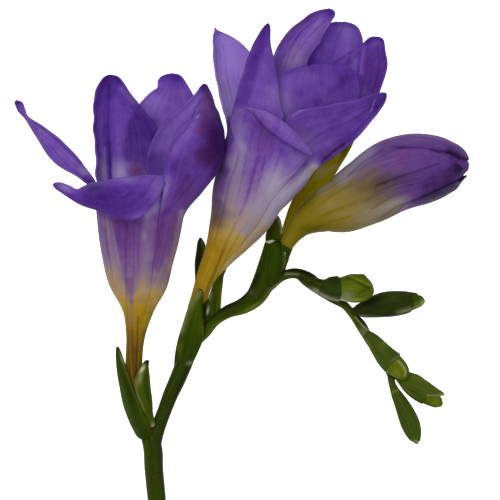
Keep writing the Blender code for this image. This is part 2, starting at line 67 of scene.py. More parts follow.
# Half the width of the very tip of a tepal and of a leaf, a tepal's swell on its tube as a share of the
# tube's radius, how far inside the tube the lining lies, and how close a sheet comes to the table
TIP_HALF_WIDTH = 0.12
LEAF_TIP_HALF_WIDTH = 0.1
SWELL = 0.045
LINING_DEPTH = 0.32
TABLE_GAP = 0.01

# Fineness: the step along a piece, and how many faces it has across or round
Fineness = namedtuple("Fineness", "step across")
TEPAL_MESH = Fineness(0.42, 34)
LINING_MESH = Fineness(0.7, 56)
BODY_MESH = Fineness(0.4, 64)
WRAP_MESH = Fineness(0.36, 70)
BRACT_MESH = Fineness(0.3, 26)
SCALE_MESH = Fineness(0.3, 18)
BUD_MESH = Fineness(0.2, 48)
BUD_WRAP_MESH = Fineness(0.2, 52)
STEM_MESH = Fineness(0.5, 28)
STAMEN_MESH = Fineness(0.25, 14)
DISC_MESH = Fineness(0.25, 20)
STEM_VOXEL = 0.16
MERGE_GAP = 0.002

# A tepal leaves its tube between two azimuths and runs through rows of edge, middle and edge to its tip.
# Then come how round its end is, the depth of its middle crease, the height of its edge waves, how far
# inside the tube's skin it lies, the share of the tube at which it starts, and its notches, each a place
# along it, a side, a depth and a width.
Tepal = namedtuple(
    "Tepal",
    "name first last rows tip round_off crease ripple inset start notches",
    defaults=[0.5, 0.12, 0.22, 0.0, 0.0, ()],
)
Leaf = namedtuple("Leaf", "rows tip round_off crease ripple", defaults=[0.8, 0.06, 0.05])

# Brush marks on a piece, placed by the photo: a soft spot, a line and an area, and what each adds
# Each mark adds to tint, shade and a third value. Shade darkens, with painted shade in some marks; below
# zero it paints pale, with painted highlights in some. The third value paints blush on petals, and painted
# light below zero; on greens it paints dry papery places, and in a few marks painted glints.
Dab = namedtuple("Dab", "x y wide tall turn tint shade warm", defaults=[0.0, 0.0])
Line = namedtuple("Line", "points width tint shade warm", defaults=[0.0, 0.0])
Patch = namedtuple("Patch", "points soft tint shade warm", defaults=[0.0, 0.0])


def spot(x, y, z):
    """A place in the photo and a height over the table, as a point in millimetres."""
    scale = PIXEL * (CAMERA_HEIGHT - z) / (CAMERA_HEIGHT - PIXEL_HEIGHT)
    return np.array([(x - PHOTO_MIDDLE) * scale + SHIFT_X, (PHOTO_MIDDLE - y) * scale + SHIFT_Y, z])


def photo_places(points):
    """Where points in millimetres lie in the photo."""
    scale = PIXEL * (CAMERA_HEIGHT - points[..., 2]) / (CAMERA_HEIGHT - PIXEL_HEIGHT)
    x = (points[..., 0] - SHIFT_X) / scale + PHOTO_MIDDLE
    y = PHOTO_MIDDLE - (points[..., 1] - SHIFT_Y) / scale
    return x, y


def unit(vector):
    """The vector drawn in or out to a length of one."""
    return vector / max(np.linalg.norm(vector), 1e-9)


def smooth_step(x, low, high):
    """0 up to low, 1 from high on, and a smooth rise between them."""
    f = np.clip((x - low) / (high - low), 0.0, 1.0)
    return f * f * (3.0 - 2.0 * f)


class Curve:
    """A smooth curve through rows of numbers set at rising marks."""

    def __init__(self, marks, values):
        self.marks = np.asarray(marks, float)
        self.values = np.asarray(values, float)
        gaps = np.diff(self.marks)
        slopes = (np.diff(self.values, axis=0).T / gaps).T
        self.tangents = np.empty_like(self.values)
        self.tangents[0] = slopes[0]
        self.tangents[-1] = slopes[-1]
        for k in range(1, len(gaps)):
            mixed = slopes[k - 1] * gaps[k] + slopes[k] * gaps[k - 1]
            self.tangents[k] = mixed / (gaps[k - 1] + gaps[k])

    def at(self, x):
        """The row of numbers at a place between the marks, or at each of several."""
        x = np.asarray(x, float)
        k = np.clip(np.searchsorted(self.marks, x) - 1, 0, len(self.marks) - 2)
        gap = self.marks[k + 1] - self.marks[k]
        f = np.clip((x - self.marks[k]) / gap, 0.0, 1.0)
        if self.values.ndim > 1:
            gap = gap[..., None]
            f = f[..., None]
        point = self.values[k] * (1 + 2 * f) * (1 - f) ** 2 + self.values[k + 1] * f * f * (3 - 2 * f)
        bend = self.tangents[k] * (1 - f) - self.tangents[k + 1] * f
        return point + gap * f * (1 - f) * bend


def even_curve(values):
    """A curve through values at even steps from 0 to 1."""
    return Curve(np.linspace(0, 1, len(values)), values)


def marks_along(points):
    """How far along a line of points each of them lies."""
    steps = np.linalg.norm(np.diff(np.asarray(points, float), axis=0), axis=1)
    return np.concatenate([[0.0], np.cumsum(steps)])


class Tube:
    """A round form along a smooth line; azimuth 0 is right of the line and 90 faces the viewer.

    Places along it are shares of its length, from 0 to 1.
    """

    def __init__(self, points, radii):
        marks = marks_along(points)
        self.length = marks[-1]
        self.knots = marks / marks[-1]
        self.line = Curve(self.knots, points)
        self.radius = Curve(self.knots, radii)

    def outward(self, s, azimuth):
        """The direction from the line towards an azimuth."""
        step = 0.004
        s = np.asarray(s, float)
        along = self.line.at(np.minimum(s + step, 1)) - self.line.at(np.maximum(s - step, 0))
        along = along / np.linalg.norm(along, axis=-1, keepdims=True)
        right = np.cross(along, VIEW)
        right = right / np.linalg.norm(right, axis=-1, keepdims=True)
        up = np.cross(right, along)
        angle = np.radians(np.asarray(azimuth, float))[..., None]
        return np.cos(angle) * right + np.sin(angle) * up

    def ring(self, s, azimuth, inset=0.0):
        """Points on the tube's skin, or so far inside it."""
        reach = np.asarray(self.radius.at(s) - inset)[..., None]
        return self.line.at(s) + reach * self.outward(s, azimuth)


def photo_tube(knots):
    """A tube from places in the photo, each with a height and a radius."""
    return Tube([spot(*knot[:3]) for knot in knots], [knot[3] for knot in knots])


# Left bloom, open: its tube, and its tepals with the two azimuths between which each leaves the tube
LEFT_TUBE = [
    (141.3, 412.5, 5.0, 1.3),
    (134.1, 365, 6.0, 1.5),
    (135.8, 335, 7.0, 1.75),
    (138.3, 310, 7.8, 3.0),
    (138.9, 287, 8.6, 5.42),
    (138.6, 262, 9.8, 6.7),
    (139.6, 236, 11.2, 7.75),
    (140.7, 212, 12.6, 8.35),
]
LEFT_TEPALS = [
    Tepal("back_left", 207.5, 265, [
        ((97.6, 181, 10), (112, 175, 4), (158, 170, 4.5)),
        ((95.2, 134, 9), (110, 134, 3), (160, 132, 5.5)),
        ((93.6, 101, 7), (110, 103, 3), (138, 104, 5)),
        ((98, 87.5, 6.5), (110, 88, 3.5), (126, 86, 4.8)),
    ], (110, 75, 4.5), 0.6, 0.35),
    Tepal("back_right", 265, 312, [
        ((128, 175, 3.6), (155, 170, 1.4), (200, 165, 8)),
        ((124, 150, 2.6), (160, 150, 0.8), (205, 145, 6.2)),
        ((129, 121, 2.0), (165, 122, 0.5), (205, 120, 5.2)),
        ((140.6, 103, 1.6), (170, 104, 0.5), (201, 104, 4.4)),
        ((153, 90.6, 1.6), (173, 91.6, 0.7), (192.2, 93.6, 3.4)),
        ((157.2, 88, 1.6), (173.4, 88, 0.8), (189.6, 88.6, 3.1)),
        ((157.6, 83, 1.6), (173.5, 83.4, 0.9), (186.4, 83.8, 2.8)),
    ], (172.8, 73.8, 1.7), 0.5, 0.15, 0.06, notches=((0.87, -1, 0.7, 0.016),)),
    Tepal("right_back", 312, 362, [
        ((147, 170, 7), (182, 167, 6.5), (211, 160, 13)),
        ((151, 143, 7), (190, 138, 8), (218, 136, 15)),
        ((166, 119.5, 7.5), (196, 116, 9), (215, 115, 14)),
        ((184, 106, 8), (202, 103, 9), (211, 101, 12)),
        ((194, 95, 8.8), (203.5, 94, 9), (207, 92, 10)),
    ], (204.3, 84, 9.4), 0.7, 0.1, 0.16),
    Tepal("right_front", 2, 63, [
        ((198, 191.4, 12), (197, 192, 19), (163, 192, 23.5)),
        ((216.8, 165, 13.5), (213.4, 165.6, 19.5), (166, 167, 24.5)),
        ((223.2, 142, 14.5), (215.6, 143, 20), (175, 143, 24)),
        ((221, 122, 14.5), (213, 122, 18.5), (191, 123.5, 21)),
        ((214.5, 103, 12.5), (209, 103, 14.5), (200.5, 107, 15.5)),
        ((209.5, 91, 11.0), (206.8, 92, 11.9), (203.6, 94, 12)),
    ], (205.3, 84.5, 10.3), 0.7, 0.06, 0.14),
    Tepal("front", 63, 143, [
        ((163, 200, 21.6), (131, 198, 24), (101, 200, 18)),
        ((168.6, 176.6, 23.2), (132, 177, 25.5), (98, 184, 21)),
        ((153, 205, 25.0), (119, 190, 28.8), (90, 184, 25)),
        ((129.6, 219.8, 29.2), (98, 198, 30.5), (78, 189, 27.5)),
        ((91, 208.6, 29), (76, 195.6, 29.5), (67, 185, 28)),
    ], (53.8, 186.4, 28), 0.7, 0.18, 0.12),
    Tepal("far_left", 143, 207.5, [
        ((95, 192, 15), (93, 188, 13), (97, 185, 10)),
        ((80, 178.5, 15), (82, 172, 13), (86, 168, 12)),
        ((54, 162, 15.5), (62, 153, 14), (70, 149, 15)),
        ((30.5, 127, 15.5), (36, 127, 14.5), (42.5, 126, 15.5)),
        ((24.4, 117.6, 15.6), (25.8, 116.6, 15.2), (27.3, 115.6, 15.6)),
        ((17.8, 110.6, 15.6), (21, 109.4, 14.9), (24.8, 109.6, 15.6)),
        ((15.4, 104.8, 15.6), (18.8, 103.8, 15.1), (23, 104.0, 15.6)),
    ], (16.4, 100.6, 16), 0.7, 0.05, 0.05),
]

# Middle bloom, open
MIDDLE_TUBE = [
    (197, 307, 5.2, 1.55),
    (203, 285, 5.5, 1.6),
    (209, 271, 5.9, 2.0),
    (218.8, 255, 6.5, 2.9),
    (230.2, 235, 7.5, 4.45),
    (241.1, 213.5, 8.6, 6.06),
    (249.8, 190.5, 9.8, 7.24),
    (260.2, 171.4, 10.8, 8.32),
    (268.6, 156, 11.8, 9.24),
]
MIDDLE_TEPALS = [
    Tepal("left_back", 180, 220, [
        ((224, 112, 10.5), (234, 108, 6), (252, 110, 4)),
        ((216, 78, 8), (229, 76, 5), (257, 78, 4.5)),
        ((213.2, 48, 7), (226, 51.4, 5), (251, 53.4, 5)),
        ((213.2, 38, 6.5), (218.4, 37, 5.7), (230, 35.6, 5.6)),
        ((213.8, 34, 6.3), (216.6, 33.2, 5.9), (221, 31.6, 5.9)),
    ], (215, 27.6, 6), 2.2, 0.08, 0.1),
    Tepal("left_front", 126, 180, [
        ((283, 118, 19), (256, 112, 19.5), (231, 121, 15)),
        ((280, 100, 17.5), (259, 92, 19), (238.5, 90, 16)),
        ((276, 70, 16.5), (262, 66, 18), (246.5, 62, 16)),
        ((270.3, 44, 16), (262.5, 42, 17), (255, 41, 16)),
    ], (268.2, 23.4, 15.5), 0.75, 0.08, 0.1),
    Tepal("back_left", 220, 258, [
        ((262, 100, 7), (285, 95, 4), (305, 105, 4)),
        ((271, 62, 6.5), (292, 62, 3.5), (308, 60, 5)),
        ((284, 37, 6), (303, 38, 3.5), (321, 39, 5.5)),
        ((306, 17, 6), (317, 19, 4.5), (331, 22, 6)),
    ], (330, 9, 5.5), 0.6, 0.14, 0.15),
    Tepal("back", 258, 300, [
        ((300, 105, 4), (318, 100, 2), (345, 105, 4)),
        ((303, 65, 4), (330, 62, 1.5), (360, 62, 4)),
        ((314, 42, 4), (338, 40, 1.5), (362.4, 42, 4)),
        ((325, 29, 3.5), (343, 29, 2), (359.2, 30.6, 4)),
    ], (344, 22.2, 3), 0.4, 0.2, 0.2),
    Tepal("right_back", 300, 345, [
        ((325, 125, 8), (348, 122, 6), (352, 140, 11)),
        ((335, 90, 7), (365, 85, 5.5), (375, 105, 10)),
        ((345, 62, 6), (369, 62, 5.5), (386.3, 66, 9)),
        ((363, 44, 6.5), (375, 46, 6), (384.6, 46, 8)),
    ], (377.5, 37, 7), 0.5, 0.08, 0.15),
    Tepal("inner", 320, 380, [
        ((340, 140, 10), (312, 140, 13), (284, 133, 16.5)),
        ((352, 115, 10), (316, 110, 12.5), (273, 110, 15.2)),
        ((360, 92, 10.5), (320, 88, 12), (272, 88, 14)),
        ((356, 74, 11.5), (320, 74, 12.5), (277, 78, 13.4)),
    ], (322, 64, 13), 0.35, 0.1, 0.12, 1.1, 0.75),
    Tepal("right_front", 345, 409, [
        ((326, 162, 12.5), (303, 148, 14), (284, 128, 18)),
        ((343, 150, 11.5), (322, 132, 14), (292, 113.5, 18)),
        ((358.4, 136.8, 13.5), (346, 122, 14.5), (325, 106, 18)),
        ((375.6, 116.4, 14.5), (367.4, 108.6, 15.5), (353, 101, 17.5)),
    ], (386, 93.4, 17), 0.7, 0.12, 0.1),
    Tepal("front", 49, 126, [
        ((300, 168, 18.5), (266, 148, 21.5), (229, 130, 16)),
        ((312, 154, 18.6), (277, 122, 22.6), (239, 108, 17.6)),
        ((313, 154, 19.6), (279, 119, 23.8), (243, 108, 18.6)),
        ((313, 156, 20.2), (276, 130, 24.6), (254, 114, 20.4)),
    ], (274, 134, 24.6), 0.3, 0.0, 0.0),
]

# Right bloom, half open: a closed body that three outer tepals wrap
RIGHT_TUBE = [
    (285.6, 246.5, 8.9, 1.25),
    (290.5, 238, 8.8, 1.5),
    (300, 226, 8.5, 2.2),
    (319.5, 213.2, 8.1, 3.8),
    (343, 204.4, 7.7, 5.42),
    (367, 190.7, 7.3, 6.36),
    (398.4, 173, 7.1, 7.0),
    (427, 167.2, 7.2, 6.45),
    (449, 165.6, 7.5, 4.85),
    (461.5, 165.8, 7.7, 3.1),
    (469, 167, 7.8, 0.9),
]

# Each outer tepal: the azimuths of its two edges and its lifts at steps along the body, and across it,
# how far along the body it ends
RIGHT_WRAPS = {
    "top": (
        [120, 118, 114, 110, 104, 108, 112, 106, 96],
        [246, 246, 246, 246, 244, 240, 236, 230, 224],
        [0.0, 0.02, 0.03, 0.05, 0.1, 0.14, 0.16, 0.2, 0.25],
        [0.93, 0.985, 0.99, 0.97, 0.9],
    ),
    "under": (
        [232, 232, 230, 230, 232, 236, 240, 248, 262],
        [352, 356, 360, 366, 372, 388, 398, 404, 410],
        [0.0, 0.02, 0.03, 0.05, 0.16, 0.38, 0.52, 0.62, 0.7],
        [0.93, 0.97, 0.995, 0.99, 0.94],
    ),
    "front": (
        [-14, -10, -6, -2, 4, 14, 22, 30, 44],
        [150, 148, 144, 138, 130, 126, 124, 118, 100],
        [0.0, 0.05, 0.12, 0.2, 0.3, 0.4, 0.46, 0.5, 0.45],
        [0.93, 0.965, 0.975, 0.965, 0.93],
    ),
}

# Stem: the scape up to the left bloom, branches to the other two, the zigzag with the buds, and pegs
STEM_RUNS = [
    [
        (176, 672, 1.8, 1.8),
        (168, 610, 1.8, 1.8),
        (160, 540, 2.0, 1.8),
        (156.8, 500, 2.2, 1.88),
        (153.9, 470, 2.6, 1.93),
        (152.3, 446, 3.0, 1.93),
        (149, 435, 3.4, 1.75),
        (145.5, 424, 4.1, 1.4),
        (142.0, 413.0, 4.85, 1.2),
    ],
    [
        (152.5, 446, 3.0, 1.7),
        (158, 428, 3.2, 1.5),
        (164, 412, 3.4, 1.45),
        (170, 396, 3.6, 1.55),
        (178.5, 377, 3.9, 1.7),
        (187, 355, 4.2, 1.75),
        (192, 335, 4.6, 1.65),
        (194.5, 319, 4.9, 1.5),
        (195.9, 306.5, 5.1, 1.2),
    ],
    [
        (192, 342, 4.4, 1.5),
        (204, 331, 4.8, 1.5),
        (214, 321, 5.2, 1.2),
        (228, 311.6, 5.7, 1.35),
        (242.8, 306, 6.2, 1.68),
        (254.8, 297.4, 6.7, 2.02),
        (263, 283.6, 7.3, 2.3),
        (268.5, 268, 8.0, 2.3),
        (272, 252, 8.6, 2.0),
        (273, 243, 8.8, 1.7),
    ],
    [
        (262, 290, 6.9, 1.3),
        (272, 284, 7.0, 1.1),
        (281, 277.5, 7.2, 0.9),
        (290, 273.6, 7.3, 1.03),
        (298.4, 273.8, 7.4, 1.12),
        (306.4, 278.3, 7.1, 1.5),
        (315.6, 285.2, 6.3, 1.5),
        (324, 293, 5.4, 1.05),
        (334, 299.5, 4.9, 0.9),
        (345, 305.5, 4.6, 0.85),
        (352, 314, 4.1, 0.8),
        (361.4, 326, 3.5, 1.12),
        (370, 342, 2.6, 0.85),
        (380, 357, 2.0, 0.75),
        (388, 370, 2.0, 0.7),
        (391.2, 379, 2.2, 0.6),
    ],
    [
        (270, 262, 8.2, 1.5),
        (277, 253, 8.6, 1.35),
        (285, 244, 8.9, 1.15),
    ],
    [
        (309, 281.5, 7.0, 1.2),
        (315, 284.5, 7.7, 1.45),
        (322, 287, 8.4, 1.6),
        (328, 288, 8.6, 1.7),
    ],
    [
        (352, 312.5, 4.1, 0.8),
        (357, 310.8, 4.4, 1.0),
        (362.5, 309.2, 4.8, 1.2),
    ],
    [
        (361, 329, 3.4, 0.75),
        (366, 334, 4.7, 0.95),
        (371.5, 339.5, 5.7, 1.0),
    ],
    [
        (390, 376, 2.2, 0.55),
        (394.5, 376.5, 2.8, 0.55),
        (399, 378.2, 3.2, 0.6),
    ],
]

# Buds along the drooping end
BUDS = {
    "bud_1": [
        (321.5, 287.2, 8.5, 1.4),
        (326, 288.1, 8.6, 1.75),
        (332, 288.3, 8.6, 2.1),
        (341, 288.7, 8.6, 2.4),
        (351, 288.3, 8.6, 2.92),
        (360.5, 287.6, 8.6, 2.88),
        (366.2, 285.4, 8.6, 2.56),
        (370, 283.8, 8.6, 1.85),
        (371.8, 282.8, 8.6, 0.6),
    ],
    "bud_2": [
        (356, 310.6, 4.6, 0.9),
        (363, 309.4, 4.6, 1.5),
        (371, 307.4, 4.5, 1.9),
        (384, 304.5, 4.4, 2.35),
        (397, 303.2, 4.3, 2.35),
        (409, 301.9, 4.2, 1.95),
        (418, 301.3, 4.2, 1.4),
        (422.8, 301.6, 4.2, 0.9),
        (424.9, 302, 4.2, 0.3),
    ],
    "bud_3": [
        (367, 334.5, 5.0, 0.85),
        (372.5, 339.8, 5.6, 1.15),
        (379.1, 348.2, 5.9, 1.5),
        (387.5, 358.2, 5.9, 1.95),
        (395.1, 365.3, 5.7, 2.1),
        (400.5, 371, 5.6, 1.85),
        (404.2, 376.5, 5.5, 1.2),
        (405.8, 379.6, 5.5, 0.4),
    ],
    "bud_4": [
        (398.2, 377.8, 3.2, 0.6),
        (405.4, 381.4, 3.2, 1.35),
        (414.6, 387.4, 3.2, 1.85),
        (424.6, 393.9, 3.2, 1.9),
        (433.4, 399.6, 3.2, 1.55),
        (439, 403.2, 3.2, 1.1),
        (442, 405.2, 3.2, 0.4),
    ],
    "bud_5": [
        (390.8, 377.5, 2.2, 0.6),
        (392.6, 385.5, 2.25, 0.6),
        (396, 393.5, 2.4, 0.9),
        (400.8, 402.5, 2.5, 1.25),
        (405.8, 413, 2.6, 1.6),
        (410.3, 424, 2.6, 1.75),
        (414, 434.5, 2.6, 1.35),
        (416.2, 441, 2.6, 0.7),
        (417.3, 444, 2.6, 0.3),
    ],
}

# The bracts round each bud: the azimuths of both edges, where it ends across, its lift and its tint
BUD_BRACTS = {
    "bud_1": [(-170, 190, (0.28, 0.29, 0.31, 0.35, 0.38, 0.36, 0.28), 0.16, 0.42)],
    "bud_2": [
        (-120, 118, (0.6, 0.64, 0.7, 0.76, 0.8, 0.82, 0.8), 0.12, 0.34),
        (100, 300, (0.74, 0.84, 0.9, 0.86, 0.7), 0.06, 0.36),
    ],
    "bud_3": [(-160, 210, (0.66, 0.68, 0.67, 0.62, 0.6, 0.64, 0.66), 0.16, 0.62)],
    "bud_4": [(-150, 130, (0.56, 0.62, 0.66, 0.66, 0.64, 0.6), 0.1, 0.64)],
    "bud_5": [
        (30, 250, (0.84, 0.92, 0.97, 0.94, 0.84), 0.1, 0.64),
        (-130, 40, (0.82, 0.9, 0.95, 0.92, 0.86), 0.06, 0.68),
    ],
}

# Bracts, and the slim green tepal under the middle bloom
LEAVES = {
    "left_bract_1": Leaf([
        ((137.6, 436, 2.2), (144.5, 439, 4.9), (152, 434, 4.9)),
        ((128.8, 419.6, 3.4), (137, 420, 6.7), (146.8, 420.5, 7.2)),
        ((125, 408, 3.9), (131.6, 408, 7.0), (140.6, 408.5, 7.6)),
        ((121, 392, 4.3), (127.4, 393, 6.9), (134.6, 393, 7.8)),
        ((117.8, 372, 5.0), (122.2, 372, 6.6), (127.2, 371, 7.6)),
        ((116.4, 357, 6.0), (118.8, 357, 6.8), (122.2, 355, 7.2)),
    ], (117.3, 346.6, 7.0), 0.7),
    "left_bract_2": Leaf([
        ((150.5, 427, 5.6), (152.8, 426.5, 5.2), (154.5, 425.0, 4.6)),
        ((142.8, 409.4, 7.6), (148.4, 410, 7.2), (152, 410, 5.6)),
        ((136.2, 393.6, 8.1), (143.6, 393.5, 8.2), (150.8, 393.4, 5.4)),
        ((134.9, 381, 8.2), (142, 379, 8.4), (149.1, 379.4, 6.0)),
        ((139.4, 369.6, 8.0), (144, 369, 7.9), (148.2, 368, 7.0)),
    ], (147.1, 360.4, 7.6), 0.55),
    "middle_bract_front": Leaf([
        ((174.8, 366, 3.8), (183.4, 371, 4.9), (191.2, 364, 4.8)),
        ((175.8, 352, 4.4), (187.5, 354, 6.9), (199, 349, 6.2)),
        ((181.7, 329, 5.2), (191.6, 332, 7.8), (203, 334, 7.1)),
        ((187.1, 312, 6.4), (195.3, 313, 7.9), (202.9, 314, 7.0)),
        ((191.9, 300, 7.7), (197.4, 300, 8.3), (202.7, 300, 7.8)),
    ], (201, 289, 8.4), 0.7),
    "middle_bract_left": Leaf([
        ((188, 308, 3.9), (191, 306, 3.2), (195, 306, 2.8)),
        ((195.2, 282, 3.6), (198.5, 280, 3.1), (203, 280, 2.9)),
        ((195.6, 260, 3.8), (199.8, 260, 3.0), (205, 258, 2.8)),
        ((197.4, 247, 3.8), (201, 247, 3.2), (205.6, 247, 3.0)),
    ], (200.4, 238, 3.6), 0.7),
    "middle_bract_right": Leaf([
        ((203.5, 322, 5.2), (211, 320, 5.6), (219.5, 313.5, 5.2)),
        ((206, 309, 5.4), (213.5, 307, 6.1), (220.6, 304, 5.2)),
        ((209, 297, 5.0), (215, 296, 4.9), (221.2, 294, 3.9)),
        ((214, 282, 3.9), (219, 282, 3.6), (223.2, 279, 3.2)),
    ], (226, 266.4, 3.1), 0.75),
    "right_bract_upper": Leaf([
        ((265.8, 243.5, 6.8), (273, 243, 7.2), (281.4, 243, 7.2)),
        ((266.4, 233, 5.0), (274, 232, 5.2), (282.6, 231, 5.4)),
        ((270.6, 223.5, 4.2), (275.8, 223.5, 4.3), (281.8, 224.5, 4.4)),
    ], (277.4, 216, 3.6), 0.8),
    "right_bract_lower": Leaf([
        ((278.5, 274, 6.4), (281, 274, 6.6), (284.4, 271, 6.2)),
        ((280.5, 266, 6.6), (283.4, 266.5, 6.6), (286.6, 264, 6.1)),
        ((283.4, 255, 6.8), (286.4, 255.5, 6.7), (289.4, 256, 6.3)),
    ], (293, 244, 6.6)),
    "green_tepal": Leaf([
        ((277.5, 247, 6.6), (280.0, 247, 6.4), (283.6, 247, 6.6)),
        ((283.4, 226, 5.2), (288, 226, 4.8), (293.4, 225, 5.0)),
        ((293, 199, 4.6), (300, 202.6, 4.0), (307, 206, 4.4)),
        ((313, 173, 4.6), (320.6, 178, 3.8), (329, 183, 4.4)),
        ((330, 157, 5.2), (336.4, 161, 4.6), (343, 160.6, 5.2)),
    ], (352.6, 138.6, 6.0), 0.6, 0.12),
}

# Small pieces that grow from another piece: the node they belong to, their slot and their form
SMALL_PIECES = {
    "right_sheath": ("stem", "stem", Leaf([
        ((256, 283, 7.4), (268.5, 287, 9.3), (280, 279, 7.4)),
        ((260.4, 270, 7.6), (271.5, 273, 10.5), (283.6, 268.5, 7.8)),
        ((262.8, 256, 8.0), (273.4, 258, 10.9), (285.2, 256, 8.6)),
        ((264.8, 246, 8.4), (274, 246.5, 10.9), (283.6, 247.5, 9.2)),
        ((265.4, 242.4, 8.5), (273.5, 242.2, 10.8), (281.4, 243.2, 9.4)),
    ], (273, 240.6, 10.6), 0.3)),
    "middle_scale_white": ("middle_bract_right", "bracts", Leaf([
        ((202.8, 319, 6.6), (205.4, 319.5, 7.1), (208, 316, 6.9)),
        ((203.8, 309, 6.8), (206.8, 309, 7.3), (210, 308, 7.0)),
    ], (207.4, 300.5, 6.8), 0.8, 0.02)),
    "middle_scale_green": ("middle_bract_right", "bracts", Leaf([
        ((207.5, 316, 6.2), (211, 316, 7.0), (214.4, 313, 6.6)),
        ((208.8, 305, 6.2), (212, 304, 7.0), (215, 302.5, 6.4)),
    ], (212.4, 291, 6.0), 0.8, 0.04)),
    "middle_margin": ("middle_bloom", "middle_bloom", Leaf([
        ((214.2, 205, 6.4), (216.6, 205, 7.4), (219.4, 205, 8.6)),
        ((216.6, 184, 8.4), (219.8, 184, 10.2), (223.2, 184, 11.8)),
        ((222.6, 155, 10.0), (226.6, 155, 12.4), (231, 155, 13.8)),
        ((227, 136, 11.2), (230.8, 136, 13.6), (234.6, 137, 15.0)),
    ], (230.8, 119.5, 14.0), 0.8, 0.05)),
    "bud_4_point": ("bud_4", "buds", Leaf([
        ((398.8, 381, 3.6), (403.6, 377.6, 4.6), (407.8, 371.6, 3.9)),
        ((408.4, 388.4, 4.6), (414.6, 382.8, 5.9), (420.2, 376.5, 4.3)),
        ((420.4, 393.8, 4.9), (426.2, 388.6, 5.7), (431.4, 384.7, 4.4)),
    ], (444.5, 395, 4.4), 1.0, 0.05)),
}


# Forms. In a sheet u runs across, from -1 at one edge to 1 at the other, and t from its foot to its tip.

# Relief: the height of pleats, ribs and edge waves, and the half width of a crease as a share of the sheet's
PLEAT_HEIGHT = 0.028
RIB_HEIGHT = 0.02
WRAP_WAVE_HEIGHT = 0.06
WRAP_PLEAT_HEIGHT = 0.05
TEPAL_CREASE = 0.07
LEAF_CREASE = 0.12

# The throat's curve fades into the blade over this share of it, and the rows near it are eased
THROAT_FADE = 0.3
THROAT_ROWS = 14
EASE_ROUNDS = 30


def bent_row(first, middle, last, columns):
    """Points on the parabola through the two edges and the middle of a row."""
    u = np.linspace(-1.0, 1.0, columns + 1)[:, None]
    return middle + (last - first) * 0.5 * u + (0.5 * (first + last) - middle) * u * u


class Blade:
    """A blade through rows of three points, rounded off to its tip."""

    def __init__(self, rows, tip, round_off, thin):
        self.knots = np.array(rows, float)
        self.marks = marks_along(self.knots[:, 1])
        self.curve = Curve(self.marks, self.knots.reshape(len(self.knots), 9))
        self.end = self.knots[-1]
        self.slopes = self.curve.tangents[-1].reshape(3, 3)
        self.tip = tip
        self.reach = np.linalg.norm(tip - self.end[1])
        self.total = self.marks[-1] + self.reach
        self.round_off = round_off
        self.thin = thin

    def row(self, x):
        """The two edges and the middle of the blade at a length along it."""
        if x <= self.marks[-1]:
            first, middle, last = self.curve.at(x).reshape(3, 3)
        else:
            f = min(1.0, (x - self.marks[-1]) / self.reach)
            narrow = max(0.0, 1 - f ** 2) ** self.round_off
            to_tip = self.tip - self.end[1]
            middle = self.end[1] + to_tip * f + (self.slopes[1] * self.reach - to_tip) * f * (1 - f) ** 2
            lean = self.reach * f * (1 - f)
            first = middle + (self.end[0] - self.end[1] + (self.slopes[0] - self.slopes[1]) * lean) * narrow
            last = middle + (self.end[2] - self.end[1] + (self.slopes[2] - self.slopes[1]) * lean) * narrow
        if np.linalg.norm(last - first) < 2 * self.thin:
            side = unit(self.end[2] - self.end[0])
            first = middle - side * self.thin
            last = middle + side * self.thin
        return first, middle, last


def photo_rows(rows):
    """Rows of places in the photo, as rows of points in millimetres."""
    return [[spot(*place) for place in row] for row in rows]


def normals_of(grid):
    """The direction straight out of a grid at each of its points."""
    across = np.gradient(grid, axis=1)
    along = np.gradient(grid, axis=0)
    normals = np.cross(across, along)
    return normals / np.maximum(np.linalg.norm(normals, axis=2, keepdims=True), 1e-9)


def raised(grid, lift):
    """A grid with each point moved straight out by its lift."""
    return grid + lift[..., None] * normals_of(grid)


def tepal_rows(tube, tepal, across):
    """Rows of points up the tube, counted from -1 to 0, and out to the tip, counted from 0 to 1."""
    azimuths = np.linspace(tepal.first, tepal.last, len(across))
    swell = SWELL * (1.0 - across ** 2) - 0.5 * SWELL * across ** 8

    def tube_row(s):
        """One row of the tepal where it is part of the tube."""
        return tube.ring(np.full(len(azimuths), s), azimuths, tepal.inset - swell * tube.radius.at(s))

    # Two rows on the tube lead the blade off it in the tube's own direction
    trio = np.array([tepal.first, 0.5 * (tepal.first + tepal.last), tepal.last])
    root = [tube.ring(np.full(3, s), trio, tepal.inset) for s in (0.88, 1.0)]
    blade = Blade(root + photo_rows(tepal.rows), spot(*tepal.tip), tepal.round_off, TIP_HALF_WIDTH)
    before = blade.marks[1]
    reach = blade.total - before
    tube_rows = max(4, int(tube.length * (1 - tepal.start) / TEPAL_MESH.step))
    blade_rows = int(reach / TEPAL_MESH.step * 1.2)
    rows = []
    along = []
    for j in range(tube_rows):
        f = j / tube_rows
        rows.append(tube_row(tepal.start + (1 - tepal.start) * f))
        along.append(f - 1.0)
    throat = tube_row(1.0)
    bent = bent_row(*root[1], TEPAL_MESH.across)
    for j in range(blade_rows + 1):
        t = 1 - (1 - j / blade_rows) ** 1.25
        row = bent_row(*blade.row(before + reach * t), TEPAL_MESH.across)
        rows.append(row + (throat - bent) * max(0.0, 1 - t / THROAT_FADE) ** 2)
        along.append(t)
    return np.array(rows), np.array(along)


def ease_throat(grid, along):
    """Even out the bend between tube and blade, in the rows nearest to the throat."""
    throat = np.count_nonzero(along < 0)
    near = np.abs(np.arange(len(grid)) - throat) < THROAT_ROWS
    near[[0, -1]] = False
    for _ in range(EASE_ROUNDS):
        eased = 0.25 * grid[:-2] + 0.5 * grid[1:-1] + 0.25 * grid[2:]
        grid[1:-1][near[1:-1]] = eased[near[1:-1]]


